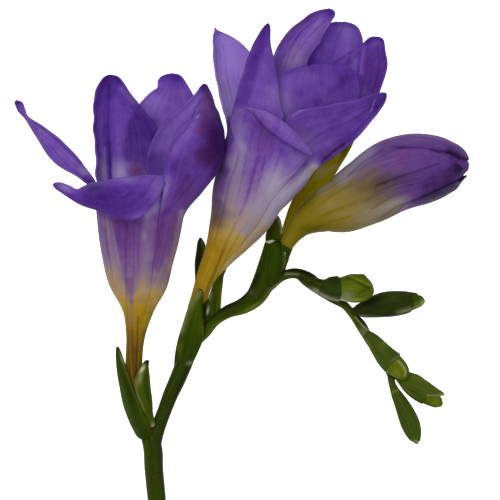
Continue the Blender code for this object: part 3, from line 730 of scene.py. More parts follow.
def tepal_form(tube, tepal, seed):
    """A tepal's grid, with its edge waves, its crease and its pleats, and how far along each row is."""
    across = np.linspace(-1.0, 1.0, TEPAL_MESH.across + 1)
    grid, along = tepal_rows(tube, tepal, across)
    ease_throat(grid, along)
    t = along[:, None]
    u = across[None, :]
    out = smooth_step(t, 0.02, 0.35)
    phase = 1.7 * seed
    wave = np.sin(19.0 * t + phase + 1.3 * u) + 0.55 * np.sin(43.0 * t + 2.3 * phase - 1.1 * u)
    lift = tepal.ripple * np.abs(u) ** 3 * wave * out * (1.0 - 0.5 * np.clip(t, 0, 1) ** 4)
    lift = lift - tepal.crease * np.exp(-(u / TEPAL_CREASE) ** 2) * out * (1.0 - np.clip(t, 0, 1) ** 3)
    pleats = np.sin(21.0 * u + phase) + 0.7 * np.sin(34.0 * u + 2.0 * phase + 3.0 * t)
    lift = lift + PLEAT_HEIGHT * pleats * smooth_step(t, -0.9, 0.1) * (1.0 - u ** 4)
    grid = raised(grid, lift)
    for place, side, depth, width in tepal.notches:
        bite = depth * np.exp(-((along - place) / width) ** 2)[:, None] * np.clip(side * u, 0, 1) ** 5
        grid = grid - bite[..., None] * side * unit(grid[:, -1] - grid[:, 0])[:, None, :]
    return grid, along


def leaf_form(leaf, mesh):
    """A bract's grid, with its edge waves, its crease and its fine ribs."""
    blade = Blade(photo_rows(leaf.rows), spot(*leaf.tip), leaf.round_off, LEAF_TIP_HALF_WIDTH)
    count = int(blade.total / mesh.step)
    along = np.array([1 - (1 - j / count) ** 1.2 for j in range(count + 1)])
    grid = np.array([bent_row(*blade.row(blade.total * t), mesh.across) for t in along])
    u = np.linspace(-1.0, 1.0, mesh.across + 1)[None, :]
    t = along[:, None]
    lift = leaf.ripple * np.abs(u) ** 3 * np.sin(17.0 * t + 1.1)
    lift = lift - leaf.crease * np.exp(-(u / LEAF_CREASE) ** 2) * (1.0 - t)
    lift = lift + RIB_HEIGHT * np.sin(26.0 * u) * (1.0 - u ** 4)
    return raised(grid, lift)


def round_form(tube, mesh, end=1.0, seams=0.0, inset=0.0):
    """Rings along a tube up to its end; seams is the depth of three seams as a share of its radius."""
    rows = max(6, int(tube.length * end / mesh.step))
    steps = np.linspace(0.0, end, rows + 1)
    turns = np.linspace(0.0, 360.0, mesh.across + 1)
    s, azimuth = np.meshgrid(steps, turns, indexing="ij")
    ridge = np.abs(np.sin(np.radians(1.5 * azimuth + 40.0))) ** 0.6
    return tube.ring(s, azimuth, seams * tube.radius.at(s) * (1.0 - ridge) + inset), steps


def wrap_form(tube, starts, ends, finish, lifts, mesh):
    """A sheet wrapped round a tube between two azimuths, each a row of numbers along it.

    finish is a row of numbers across the sheet: how far along the tube it ends.
    """
    rows = max(8, int(tube.length * max(finish) / mesh.step))
    f = np.linspace(0.0, 1.0, rows + 1)[:, None]
    g = np.linspace(0.0, 1.0, mesh.across + 1)[None, :]
    first = even_curve(starts).at(f)
    last = even_curve(ends).at(f)
    s = np.minimum(even_curve(finish).at(g) * f, 1.0)
    azimuth = first + (last - first) * g
    lift = even_curve(lifts).at(f) * (1.0 + 0.35 * np.abs(2 * g - 1) ** 6)
    return tube.ring(s, azimuth, -lift), f[:, 0]


def above_table(grid, thick):
    """Keep a sheet's underside over the table."""
    grid[..., 2] = np.maximum(grid[..., 2], 0.5 * thick + TABLE_GAP)
    return grid


# Paint and grain


def line_distance(x, y, points):
    """Distance in photo pixels from each place to a line of points."""
    near = np.full(x.shape, 1e9)
    for (ax, ay), (bx, by) in zip(points[:-1], points[1:]):
        length = (bx - ax) ** 2 + (by - ay) ** 2
        f = np.clip(((x - ax) * (bx - ax) + (y - ay) * (by - ay)) / length, 0.0, 1.0)
        near = np.minimum(near, np.hypot(x - ax - f * (bx - ax), y - ay - f * (by - ay)))
    return near


def inside(x, y, points):
    """Which places lie inside a closed line of points."""
    hit = np.zeros(x.shape, bool)
    for (ax, ay), (bx, by) in zip(points, points[1:] + points[:1]):
        if ay != by:
            crosses = (y < ay) != (y < by)
            hit ^= crosses & (x < ax + (y - ay) * (bx - ax) / (by - ay))
    return hit


def brush(points, marks):
    """What the brush marks add up to at each point: tint, shade (with painted shade and painted highlights)
    and a third value (blush and painted light on petals, dry places and painted glints on greens).
    """
    x, y = photo_places(points)
    total = np.zeros(points.shape[:-1] + (3,))
    for mark in marks:
        if isinstance(mark, Dab):
            turn = np.radians(mark.turn)
            dx = (x - mark.x) * np.cos(turn) + (y - mark.y) * np.sin(turn)
            dy = (y - mark.y) * np.cos(turn) - (x - mark.x) * np.sin(turn)
            weight = np.exp(-(dx / mark.wide) ** 2 - (dy / mark.tall) ** 2)
        elif isinstance(mark, Line):
            weight = np.exp(-(line_distance(x, y, mark.points) / mark.width) ** 2)
        else:
            edge = line_distance(x, y, mark.points + mark.points[:1])
            edge = np.where(inside(x, y, mark.points), edge, -edge)
            weight = smooth_step(edge, -mark.soft, mark.soft)
        total += weight[..., None] * np.array([mark.tint, mark.shade, mark.warm])
    return total


def painted(points, tint, marks=()):
    """Paint for each point: a tint, and what the brush marks add."""
    paint = np.zeros(points.shape)
    paint[..., 0] = tint
    return paint + brush(points, marks)


def graded(places, stops):
    """Values between stops, each a place and a value."""
    marks, values = zip(*stops)
    return np.interp(places, marks, values)


# Grain: how much of the streak pattern a piece takes across it, and along each of its millimetres
TEPAL_GRAIN = (3.0, 0.05)
ROUND_GRAIN = (9.0, 0.05)
LEAF_GRAIN = (2.0, 0.06)
BUD_GRAIN = (6.0, 0.06)
BUD_WRAP_GRAIN = (4.0, 0.06)
STAMEN_GRAIN = (2.0, 0.1)
STEM_GRAIN = (1.6, 0.05)


def grain_of(grid, scales, seed):
    """Texture places that run with the grid, so that streaks follow the surface."""
    across_scale, along_scale = scales
    columns = grid.shape[1]
    grain = np.empty(grid.shape)
    grain[..., 0] = np.linspace(-1.0, 1.0, columns)[None, :] * across_scale + 7.3 * seed
    grain[..., 1] = marks_along(grid[:, columns // 2])[:, None] * along_scale
    grain[..., 2] = 3.1 * seed
    return grain


# Meshes


def grid_shape(grid, paint, grain, ends=None):
    """A sheet laid through rows of points, with its paint and grain kept on its points.

    A round form has its seam joined, and its ends are open or filled.
    """
    rows, columns = grid.shape[0] - 1, grid.shape[1] - 1
    shape = bmesh.new()
    paint_layer = shape.verts.layers.float_vector.new("paint")
    grain_layer = shape.verts.layers.float_vector.new("grain")
    bmesh.ops.create_grid(shape, x_segments=columns, y_segments=rows, size=1.0)
    for vertex in shape.verts:
        i = int(round((vertex.co.x + 1.0) * 0.5 * columns))
        j = int(round((vertex.co.y + 1.0) * 0.5 * rows))
        vertex[paint_layer] = paint[j, i]
        vertex[grain_layer] = grain[j, i]
        vertex.co = grid[j, i] * MM
    if ends:
        bmesh.ops.remove_doubles(shape, verts=shape.verts, dist=MERGE_GAP * MM)
        rims = [edge for edge in shape.edges if edge.is_boundary]
        if ends == "filled" and rims:
            bmesh.ops.holes_fill(shape, edges=rims, sides=0)
        bmesh.ops.recalc_face_normals(shape, faces=shape.faces)
    return shape


def keep_mesh(shape, name):
    """The shape as a smooth mesh. The shape itself is done with."""
    mesh = bpy.data.meshes.new(name)
    shape.to_mesh(mesh)
    shape.free()
    mesh.shade_smooth()
    return mesh


def place_object(name, content):
    """An object at the origin that shows a mesh, a light or a camera."""
    item = bpy.data.objects.new(name, content)
    bpy.context.scene.collection.objects.link(item)
    return item


def add_piece(name, mesh, skin, node, thick=None):
    """One piece of the spray, in the place of a node. A sheet has a thickness."""
    item = place_object(name, mesh)
    item.data.materials.append(skin)
    if thick:
        wall = item.modifiers.new("Thickness", "SOLIDIFY")
        wall.thickness = thick * MM
        wall.offset = 0.0
        wall.use_even_offset = False
    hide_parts(node)
    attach(item, "root")


def add_grid(name, grid, paint, grain, skin, node, thick=None, ends=None):
    """One piece made from a grid of points."""
    add_piece(name, keep_mesh(grid_shape(grid, paint, grain, ends), name), skin, node, thick)


# Materials


def new_group(name, inputs, outputs):
    """An empty node group with named sockets."""
    group = bpy.data.node_groups.new(name, "ShaderNodeTree")
    for label, kind in inputs:
        group.interface.new_socket(name=label, in_out="INPUT", socket_type=kind)
    for label, kind in outputs:
        group.interface.new_socket(name=label, in_out="OUTPUT", socket_type=kind)
    return group


class Wiring:
    """Short ways to add nodes to a tree and join them."""

    def __init__(self, tree):
        self.tree = tree

    def node(self, kind, **settings):
        """A new node with its settings."""
        node = self.tree.nodes.new(kind)
        for key, value in settings.items():
            setattr(node, key, value)
        return node

    def feed(self, socket, value):
        """Link a socket to another one, or set its value."""
        if isinstance(value, bpy.types.NodeSocket):
            self.tree.links.new(value, socket)
        elif value is not None:
            socket.default_value = value

    def math(self, operation, a, b=None, clamp=False):
        """What an operation makes of one value or two."""
        node = self.node("ShaderNodeMath", operation=operation, use_clamp=clamp)
        self.feed(node.inputs[0], a)
        self.feed(node.inputs[1], b)
        return node.outputs[0]

    def add(self, a, b, clamp=False):
        """The sum of two values."""
        return self.math("ADD", a, b, clamp)

    def times(self, a, b, clamp=False):
        """The product of two values."""
        return self.math("MULTIPLY", a, b, clamp)

    def mix(self, factor, a, b, blend="MIX"):
        """Two colours mixed by a factor."""
        node = self.node("ShaderNodeMix", data_type="RGBA", blend_type=blend)
        self.feed(node.inputs[0], factor)
        self.feed(node.inputs[6], a)
        self.feed(node.inputs[7], b)
        return node.outputs[2]

    def ramp(self, factor, stops):
        """The colour between stops at a factor."""
        node = self.node("ShaderNodeValToRGB")
        elements = node.color_ramp.elements
        while len(elements) < len(stops):
            elements.new(0.5)
        for element, (place, colour) in zip(elements, stops):
            element.position = place
            element.color = colour
        self.feed(node.inputs[0], factor)
        return node.outputs[0]

    def noise(self, vector, scale, detail=3.0, roughness=0.5):
        """A cloudy pattern from 0 to 1."""
        node = self.node("ShaderNodeTexNoise")
        self.feed(node.inputs["Vector"], vector)
        node.inputs["Scale"].default_value = scale
        node.inputs["Detail"].default_value = detail
        node.inputs["Roughness"].default_value = roughness
        return node.outputs["Fac"]

    def stretch(self, vector, scale):
        """Texture places drawn out along their axes."""
        node = self.node("ShaderNodeMapping")
        self.feed(node.inputs["Vector"], vector)
        node.inputs["Scale"].default_value = scale
        return node.outputs[0]

    def object_places(self):
        """Places in metres, as the mesh has them."""
        return self.node("ShaderNodeTexCoord").outputs["Object"]

    def split_attribute(self, name):
        """The three parts of an attribute."""
        return self.split(self.node("ShaderNodeAttribute", attribute_name=name).outputs["Vector"])

    def split(self, vector):
        """The three parts of a vector."""
        node = self.node("ShaderNodeSeparateXYZ")
        self.feed(node.inputs[0], vector)
        return node.outputs[0], node.outputs[1], node.outputs[2]

    def around_zero(self, value, amount):
        """A pattern from 0 to 1, as a shift to either side of zero."""
        return self.times(self.math("SUBTRACT", value, 0.5), amount)

    def darker(self, factor, colour, dark):
        """A colour that is darkened where the factor is high."""
        return self.mix(factor, colour, self.mix(1.0, colour, dark, "MULTIPLY"))


def ink(red, green, blue):
    """A screen colour, 0 to 255, as the linear colour that shaders use."""
    parts = []
    for part in (red, green, blue):
        part = part / 255.0
        parts.append(part / 12.92 if part <= 0.04045 else ((part + 0.055) / 1.055) ** 2.4)
    return (*parts, 1.0)


def grey(value):
    """A linear grey."""
    return (value, value, value, 1.0)


def streak_group():
    """Masks for the streaks and veins that run along a petal or leaf, and for its mottle."""
    group = new_group(
        "plant_streaks",
        [("Grain", "NodeSocketVector")],
        [(name, "NodeSocketFloat") for name in ("Soft", "Fine", "Vein", "Mottle")],
    )
    wires = Wiring(group)
    source = wires.node("NodeGroupInput").outputs["Grain"]
    out = wires.node("NodeGroupOutput")
    soft = wires.noise(wires.stretch(source, (0.9, 1.4, 1.0)), 1.7, 2.0)
    fine = wires.noise(wires.stretch(source, (6.0, 1.3, 1.0)), 1.5, 4.0, 0.62)
    bent = wires.noise(wires.stretch(source, (0.6, 2.2, 1.0)), 1.1, 1.0)
    shifted = wires.add(wires.split(source)[0], wires.times(bent, 0.6))
    ripple = wires.math("SINE", wires.times(shifted, 26.0))
    thin = wires.ramp(ripple, [(0.0, grey(0.0)), (0.8, grey(0.0)), (1.0, grey(1.0))])
    broken = wires.ramp(wires.noise(source, 1.3, 3.0), [(0.42, grey(0.0)), (0.66, grey(1.0))])
    wires.feed(out.inputs["Soft"], soft)
    wires.feed(out.inputs["Fine"], fine)
    wires.feed(out.inputs["Vein"], wires.times(thin, broken))
    wires.feed(out.inputs["Mottle"], wires.noise(wires.object_places(), 420.0, 6.0, 0.68))
    return group


def cell_group():
    """The grainy surface of a petal or leaf, for bump."""
    group = new_group("plant_cells", [("Scale", "NodeSocketFloat")], [("Height", "NodeSocketFloat")])
    wires = Wiring(group)
    place = wires.object_places()
    cells = wires.node("ShaderNodeTexVoronoi", feature="F1")
    wires.feed(cells.inputs["Vector"], place)
    wires.feed(cells.inputs["Scale"], wires.node("NodeGroupInput").outputs["Scale"])
    speck = wires.times(wires.noise(place, 1800.0, 2.0), 0.6)
    out = wires.node("NodeGroupOutput")
    wires.feed(out.inputs["Height"], wires.add(cells.outputs["Distance"], speck))
    return group


# How far each pattern shifts a tint
PETAL_SHIFTS = {"Soft": 0.07, "Fine": 0.2, "Mottle": 0.34}
GREEN_SHIFTS = {"Soft": 0.3, "Fine": 0.3}

# Depth of the skin's grain, in metres
BUMP_DEPTH = 0.00012

STREAKS = streak_group()
CELLS = cell_group()


def start_material(name):
    """An empty material, with the streaks placed by the grain of its piece."""
    material = bpy.data.materials.new(name)
    material.use_nodes = True
    material.node_tree.nodes.clear()
    wires = Wiring(material.node_tree)
    streaks = wires.node("ShaderNodeGroup", node_tree=STREAKS)
    grain = wires.node("ShaderNodeAttribute", attribute_name="grain")
    wires.feed(streaks.inputs["Grain"], grain.outputs["Vector"])
    return material, wires, streaks.outputs


def tint_shifts(wires, streaks, shifts):
    """The patterns as shifts of a tint to either side."""
    return [wires.around_zero(streaks[name], amount) for name, amount in shifts.items()]


def skin_bump(wires, streaks, cell_scale, cell_share, strength):
    """The surface's normal, roughened by cells and fine streaks."""
    cells = wires.node("ShaderNodeGroup", node_tree=CELLS)
    cells.inputs["Scale"].default_value = cell_scale
    bump = wires.node("ShaderNodeBump")
    bump.inputs["Strength"].default_value = strength
    bump.inputs["Distance"].default_value = BUMP_DEPTH
    height = wires.add(wires.times(cells.outputs["Height"], cell_share), streaks["Fine"])
    wires.feed(bump.inputs["Height"], height)
    return bump.outputs[0]


def finish_material(wires, surface, glow, normal, through):
    """Mix the surface with light that comes through from behind."""
    wires.feed(surface.inputs["Normal"], normal)
    lit = wires.node("ShaderNodeBsdfTranslucent")
    wires.feed(lit.inputs["Color"], glow)
    wires.feed(lit.inputs["Normal"], normal)
    both = wires.node("ShaderNodeMixShader")
    both.inputs[0].default_value = through
    wires.feed(both.inputs[1], surface.outputs[0])
    wires.feed(both.inputs[2], lit.outputs[0])
    wires.feed(wires.node("ShaderNodeOutputMaterial").inputs["Surface"], both.outputs[0])


def petal_material(name, stops, veins, through):
    """Petal: colour by its painted tint, streaked and veined, lit through from behind, with painted shade,
    painted highlights and painted light where the paint puts them.
    """
    material, wires, streaks = start_material(name)
    tint, shade, warm = wires.split_attribute("paint")
    soft, fine, mottle = tint_shifts(wires, streaks, PETAL_SHIFTS)
    uneven = wires.add(mottle, wires.add(soft, fine))
    calmer_when_pale = wires.add(0.25, wires.times(tint, 1.5), clamp=True)
    colour = wires.ramp(wires.add(tint, wires.times(uneven, calmer_when_pale)), stops)
    patchy = wires.times(wires.add(1.0, wires.times(mottle, 1.8)), shade)
    # Shade below zero mixes towards a pale colour: whitish streaks, and painted highlights and painted light
    # where marks lift a shaded place
    colour = wires.mix(wires.times(patchy, -1.0, clamp=True), colour, PETAL_PALE_AND_HIGHLIGHT)
    # The third value below zero mixes towards a bright violet, painted light for light coming through the
    # tepal; above zero it mixes towards the blush
    colour = wires.mix(wires.times(warm, -1.0, clamp=True), colour, PETAL_PAINTED_LIGHT)
    colour = wires.mix(wires.times(warm, 1.0, clamp=True), colour, BLUSH)
    colour = wires.darker(wires.times(streaks["Vein"], veins), colour, PETAL_DARK)
    # Shade above zero darkens: deeper colour, and painted shade where marks put it in overlaps, folds and
    # under edges
    colour = wires.darker(wires.times(patchy, 1.0, clamp=True), colour, PETAL_DARK)
    surface = wires.node("ShaderNodeBsdfPrincipled")
    wires.feed(surface.inputs["Base Color"], colour)
    surface.inputs["Roughness"].default_value = 0.52
    surface.inputs["Specular IOR Level"].default_value = 0.06
    surface.inputs["Sheen Weight"].default_value = 0.012
    surface.inputs["Sheen Roughness"].default_value = 0.4
    glow = wires.mix(0.3, colour, PETAL_GLOW, "SCREEN")
    normal = skin_bump(wires, streaks, cell_scale=2600.0, cell_share=0.35, strength=0.2)
    finish_material(wires, surface, glow, normal, through)
    return material


def green_material(name, stops, rough, through):
    """Stem, bract or bud skin: greens by painted tint, with lengthwise fibres, dry papery places and a few
    painted glints.
    """
    material, wires, streaks = start_material(name)
    tint, shade, dry_and_glint = wires.split_attribute("paint")
    soft, fine = tint_shifts(wires, streaks, GREEN_SHIFTS)
    colour = wires.ramp(wires.add(tint, wires.add(soft, fine)), stops)
    specks = wires.noise(wires.object_places(), 900.0, 3.0)
    speck = wires.ramp(specks, [(0.0, grey(0.0)), (0.62, grey(0.0)), (0.75, grey(1.0))])
    colour = wires.mix(wires.times(speck, 0.22), colour, BROWN)
    colour = wires.darker(wires.times(shade, 1.0, clamp=True), colour, GREEN_DARK)
    # The third value paints the papery colour: dry places, and in a few marks a painted glint
    dried_and_glint = wires.add(dry_and_glint, wires.times(fine, wires.times(dry_and_glint, 2.0)), clamp=True)
    colour = wires.mix(dried_and_glint, colour, PAPER_AND_GLINT)
    surface = wires.node("ShaderNodeBsdfPrincipled")
    wires.feed(surface.inputs["Base Color"], colour)
    wires.feed(surface.inputs["Roughness"], wires.add(wires.times(streaks["Soft"], 0.2), rough))
    surface.inputs["Specular IOR Level"].default_value = 0.025
    glow = wires.mix(0.25, colour, LEAF_GLOW, "SCREEN")
    normal = skin_bump(wires, streaks, cell_scale=2200.0, cell_share=0.25, strength=0.26)
    finish_material(wires, surface, glow, normal, through)
    return material


# Colours by tint, from 0 to 1: petals from yellow neck to dark tip, greens from deep to pale
PETAL_STOPS = [
    (0.0, ink(140, 120, 4)),
    (0.08, ink(188, 152, 22)),
    (0.15, ink(198, 168, 80)),
    (0.21, ink(188, 166, 118)),
    (0.3, ink(164, 146, 158)),
    (0.4, ink(151, 127, 174)),
    (0.5, ink(133, 101, 174)),
    (0.62, ink(113, 76, 167)),
    (0.75, ink(93, 56, 150)),
    (0.88, ink(73, 37, 126)),
    (1.0, ink(50, 20, 76)),
]
OLIVE_STOPS = [
    (0.0, ink(106, 94, 0)),
    (0.15, ink(126, 108, 24)),
    (0.3, ink(118, 104, 52)),
    (0.42, ink(108, 92, 66)),
    (0.55, ink(98, 80, 90)),
    (0.7, ink(98, 66, 124)),
    (0.85, ink(84, 50, 120)),
    (1.0, ink(48, 24, 70)),
]
WRAP_STOPS = [
    (0.0, ink(16, 22, 4)),
    (0.3, ink(32, 40, 9)),
    (0.55, ink(44, 60, 14)),
    (0.8, ink(69, 81, 18)),
    (1.0, ink(102, 108, 36)),
]
GREEN_STOPS = [
    (0.0, ink(16, 22, 0)),
    (0.3, ink(32, 40, 2)),
    (0.55, ink(44, 60, 0)),
    (0.8, ink(70, 82, 4)),
    (1.0, ink(104, 110, 26)),
]
STRIP_STOPS = [
    (0.0, ink(82, 84, 0)),
    (0.4, ink(166, 153, 0)),
    (0.7, ink(162, 155, 8)),
    (1.0, ink(160, 156, 44)),
]
BLUSH = ink(114, 56, 100)
# Pale: whitish streaks and painted highlights. Bright violet: painted light for light coming through a
# tepal. Dark: deeper colour and painted shade.
PETAL_PALE_AND_HIGHLIGHT = ink(190, 182, 204)
PETAL_PAINTED_LIGHT = ink(178, 140, 236)
PETAL_DARK = (0.3, 0.22, 0.38, 1.0)
PETAL_GLOW = ink(110, 74, 170)
GREEN_DARK = (0.3, 0.32, 0.34, 1.0)
LEAF_GLOW = ink(90, 104, 0)
# Papery colour: dry bract and scale places, and a few painted glints on the buds and stem
PAPER_AND_GLINT = ink(186, 178, 160)
BROWN = ink(92, 76, 30)

left_petal = petal_material("left_petal", PETAL_STOPS, veins=0.3, through=0.42)
middle_petal = petal_material("middle_petal", PETAL_STOPS, veins=0.25, through=0.42)
right_petal = petal_material("right_petal", OLIVE_STOPS, veins=0.5, through=0.25)
stamen_skin = petal_material("stamen_skin", PETAL_STOPS, veins=0.1, through=0.3)
stem_skin = green_material("stem_skin", GREEN_STOPS, rough=0.3, through=0.02)
bract_skin = green_material("bract_skin", GREEN_STOPS, rough=0.56, through=0.2)
bud_skin = green_material("bud_skin", GREEN_STOPS, rough=0.42, through=0.08)
wrap_skin = green_material("wrap_skin", WRAP_STOPS, rough=0.5, through=0.14)
strip_skin = green_material("strip_skin", STRIP_STOPS, rough=0.42, through=0.45)


# Brush marks. The tube marks reach from the neck to the throat, the others from the throat to the tip.

LEFT_TUBE_MARKS = [
    Patch([(113, 218), (118, 245), (122, 266), (127, 292), (137, 293), (139, 280), (140, 262), (139, 218)],
          3.0, 0.05),
    Line([(135, 224), (134, 262)], 3.0, -0.04, -0.08),
    Line([(153, 224), (151, 258)], 4.0, -0.04, -0.08),
    Line([(175, 214), (168, 252)], 4.0, -0.02, 0.06, 0.16),
    # Painted shadow that the flap casts on the top of the tube
    Line([(98, 213), (124, 220), (152, 216)], 4.5, 0.04, 0.3),
    Patch([(98, 214), (103, 262), (110, 292), (122, 290), (119, 262), (110, 222), (106, 214)],
          2.0, -0.1, -0.18),
    Dab(107, 230, 2.6, 13, -6, 0.0, -0.35),
    Line([(105, 226), (108, 250), (113, 272)], 1.5, 0.12, 0.2),
    Line([(101, 222), (104, 248), (108, 268)], 1.2, 0.1, 0.1),
    Line([(112, 222), (116, 245), (120.5, 266), (124, 290)], 0.9, -0.04, -0.4),
    Line([(147, 216), (146, 245), (144, 275), (142, 298)], 4.5, -0.06, -0.2),
    # Painted highlight: a small glint on the tube
    Dab(144, 236, 2.2, 6, 0, 0.0, -0.5),
    Line([(156, 206), (148, 216)], 6.0, -0.05, -0.3),
    Line([(163, 212), (160, 240), (156, 266)], 4.0, 0.1, 0.0, 0.1),
    Line([(163, 216), (158.5, 240), (154, 262)], 0.8, 0.0, 0.4),
    Line([(171, 212), (166, 240), (160, 264)], 0.8, 0.0, 0.3),
    Line([(181, 212), (176.4, 240), (169.4, 268)], 3.2, -0.2, -0.4),
    Line([(172, 262), (160, 292)], 1.2, -0.02, -0.3),
    Line([(166, 258), (154, 287)], 0.8, -0.02, -0.3),
    Line([(159, 262), (149, 290)], 0.8, 0.0, -0.22),
    Line([(127, 222), (125.5, 252), (127, 300), (129.5, 345)], 0.8, 0.03, 0.45),
    Line([(134, 222), (133, 262), (133.5, 300)], 0.7, 0.0, 0.2),
    Line([(130, 282), (131.4, 300)], 3.4, 0.12, 0.0, 0.2),
    Line([(131.4, 302), (132, 324)], 3.0, 0.06, 0.26, 0.2),
    Line([(116, 290), (122, 308), (127, 324)], 1.8, -0.02, -0.14),
    Dab(114, 276, 4, 12, -12, -0.1, -0.26),
    Line([(132, 330), (133.4, 352)], 2.6, 0.03, 0.4, 0.1),
    Dab(133.4, 362, 1.8, 14, 0, 0.0, 0.35),
    Line([(156, 298), (150, 310), (145, 326)], 3.4, 0.04, -0.1),
    Dab(149, 306, 7, 13, 12, -0.05, -0.04),
    Line([(152, 306), (146, 322), (142, 345)], 3.0, -0.04, -0.04),
    Line([(138, 316), (137, 345), (135.4, 378)], 1.1, -0.02, 0.4),
    Line([(129, 350), (131, 385), (136, 410)], 0.7, 0.0, 0.35),
    Line([(133, 350), (134.5, 385)], 0.7, 0.02, 0.2),
    Line([(140, 345), (138.8, 385)], 0.7, 0.0, 0.25),
    Line([(121, 305), (127, 335), (129, 350)], 0.8, 0.0, 0.25),
]
LEFT_MARKS = {
    "far_left": [
        Line([(85, 180), (92, 184)], 2.5, 0.1, 0.4),
        Line([(34, 126), (60, 158), (84, 180)], 1.0, 0.05, 0.12),
        Dab(18, 104, 3, 4, 0, 0.12, 0.2),
        Dab(75, 168, 10, 5, 40, -0.05),
        Dab(84, 172, 6, 4, 30, -0.12, -0.24),
        Line([(40, 128), (62, 148), (84, 172)], 1.6, -0.04),
    ],
    "back_left": [
        Line([(109, 84), (107.5, 120), (108, 150), (109.5, 186)], 1.6, 0.07, 0.1),
        Line([(110.4, 146), (110, 186)], 0.8, 0.05, 0.7),
        Line([(98.5, 110), (99, 150), (101, 186)], 4.0, -0.13),
        Line([(104, 148), (104.6, 186)], 1.6, -0.1, -0.15),
        Line([(119, 92), (118, 120), (118.5, 150)], 5.0, -0.07),
        Dab(120, 172, 9, 12, 0, -0.2, -0.42),
        Dab(102, 174, 5, 14, 0, -0.1, -0.2),
        Line([(122, 88), (134, 102)], 3.0, -0.08, -0.1),
        Dab(113, 92, 7, 10, 0, 0.06, 0.12),
        Dab(137, 171, 8, 9, 0, -0.06, 0.25, 0.65),
        # Painted shade where the back-right tepal lies behind this one and the two overlap
        Patch([(140, 104), (129, 121), (124, 145), (125, 160), (152, 168), (166, 150), (164, 132),
               (157, 121)], 1.6, 0.1, 0.15),
        Dab(111, 79, 8, 6, 0, 0.05, 0.1),
    ],
    "back_right": [
        Dab(174, 76, 9, 8, 0, 0.16, 0.1),
        Line([(170, 84), (168, 120)], 1.0, 0.04),
        Line([(177, 84), (177, 115)], 1.0, 0.04),
        # Painted light: a paler, brighter patch near the left edge
        Dab(151, 100, 11, 13, 30, -0.05, -0.08, -0.24),
    ],
    "right_back": [
        # Painted light: a brighter violet band, for light coming through the tepal
        Line([(160, 150), (176, 127), (194, 104)], 10.0, 0.0, 0.0, -0.28),
        Line([(192, 118), (195, 112), (196, 108)], 1.1, 0.1, 0.55),
        Line([(197.5, 107), (201, 100)], 1.1, 0.1, 0.4),
        Line([(160, 134), (172, 120), (188, 105)], 1.0, 0.08, 0.1),
        Line([(176, 131), (184, 124), (190, 120)], 0.8, 0.08, 0.25),
        Dab(198, 96, 5, 7, 20, -0.1),
        Dab(204, 87, 3, 5, 0, 0.14, 0.4),
        Dab(154, 158, 8, 12, 0, 0.1, 0.15),
    ],
    "right_front": [
        Line([(206, 98), (204, 118), (200, 132)], 4.0, -0.02, 0.05, 0.4),
        # Dark plum: the tepal's own colour, with painted shade where its right half turns away
        Dab(213.5, 139, 11, 28, -4, 0.08, 0.95, 0.4),
        Dab(198, 117, 1.6, 3, 40, -0.12, -0.35),
        Dab(198, 156, 7, 10, 0, 0.06, 0.3, 0.2),
        Dab(206, 158, 9, 12, 0, 0.0, 0.45, 0.3),
        Line([(206, 92), (213, 106), (218, 120)], 3.0, 0.04, 0.3, 0.3),
        # Painted shade along the right edge, where the tepal curves away
        Line([(221, 118), (223, 140), (221, 158), (212, 176)], 3.4, 0.0, 0.4, 0.1),
        Line([(176, 150), (184, 138), (193, 127)], 6.0, -0.1, -0.05),
        Dab(180, 170, 13, 14, 0, 0.09, 0.27, 0.08),
        Line([(196, 113), (190, 123), (181, 134)], 1.0, 0.1, 0.3),
        Dab(186, 190, 16, 14, -30, 0.0, 0.25, 0.3),
        # Painted light along the margin by the flap's end, to soften the shade of the join
        Line([(169, 178), (164, 190), (156, 204)], 5.0, -0.06, -0.26),
        Line([(164, 214), (176, 194), (188, 176)], 2.0, 0.1, 0.1),
        Line([(166, 214), (182, 194), (198, 176)], 1.4, 0.08, 0.12),
        Dab(205, 88, 3.4, 6, 0, 0.12, 0.4),
    ],
    "front": [
        Dab(108, 200, 26, 12, 15, 0.08, 0.26),
        Dab(88, 197, 12, 7, 15, 0.02, 0.2),
        # Painted light at the flap's right end, where it meets the tube, to soften the shade of the join
        Dab(156, 191, 9, 14, 0, -0.1, -0.08, -0.14),
        Dab(143, 217, 12, 7, -25, -0.12, -0.12, -0.14),
        Dab(126, 181, 14, 5, 0, -0.06, -0.2),
        Dab(115, 196, 40, 22, 10, 0.0, 0.1),
        Dab(78, 193, 9, 6, 30, -0.1, -0.12),
        Line([(142, 198), (154, 178)], 0.8, 0.08, 0.1),
        Dab(97, 188, 9, 4, 0, 0.08, 0.35),
        Dab(64, 188, 8, 4, 20, -0.14, -0.28),
        Dab(60, 187, 6, 4, 0, 0.05, 0.05),
    ],
}
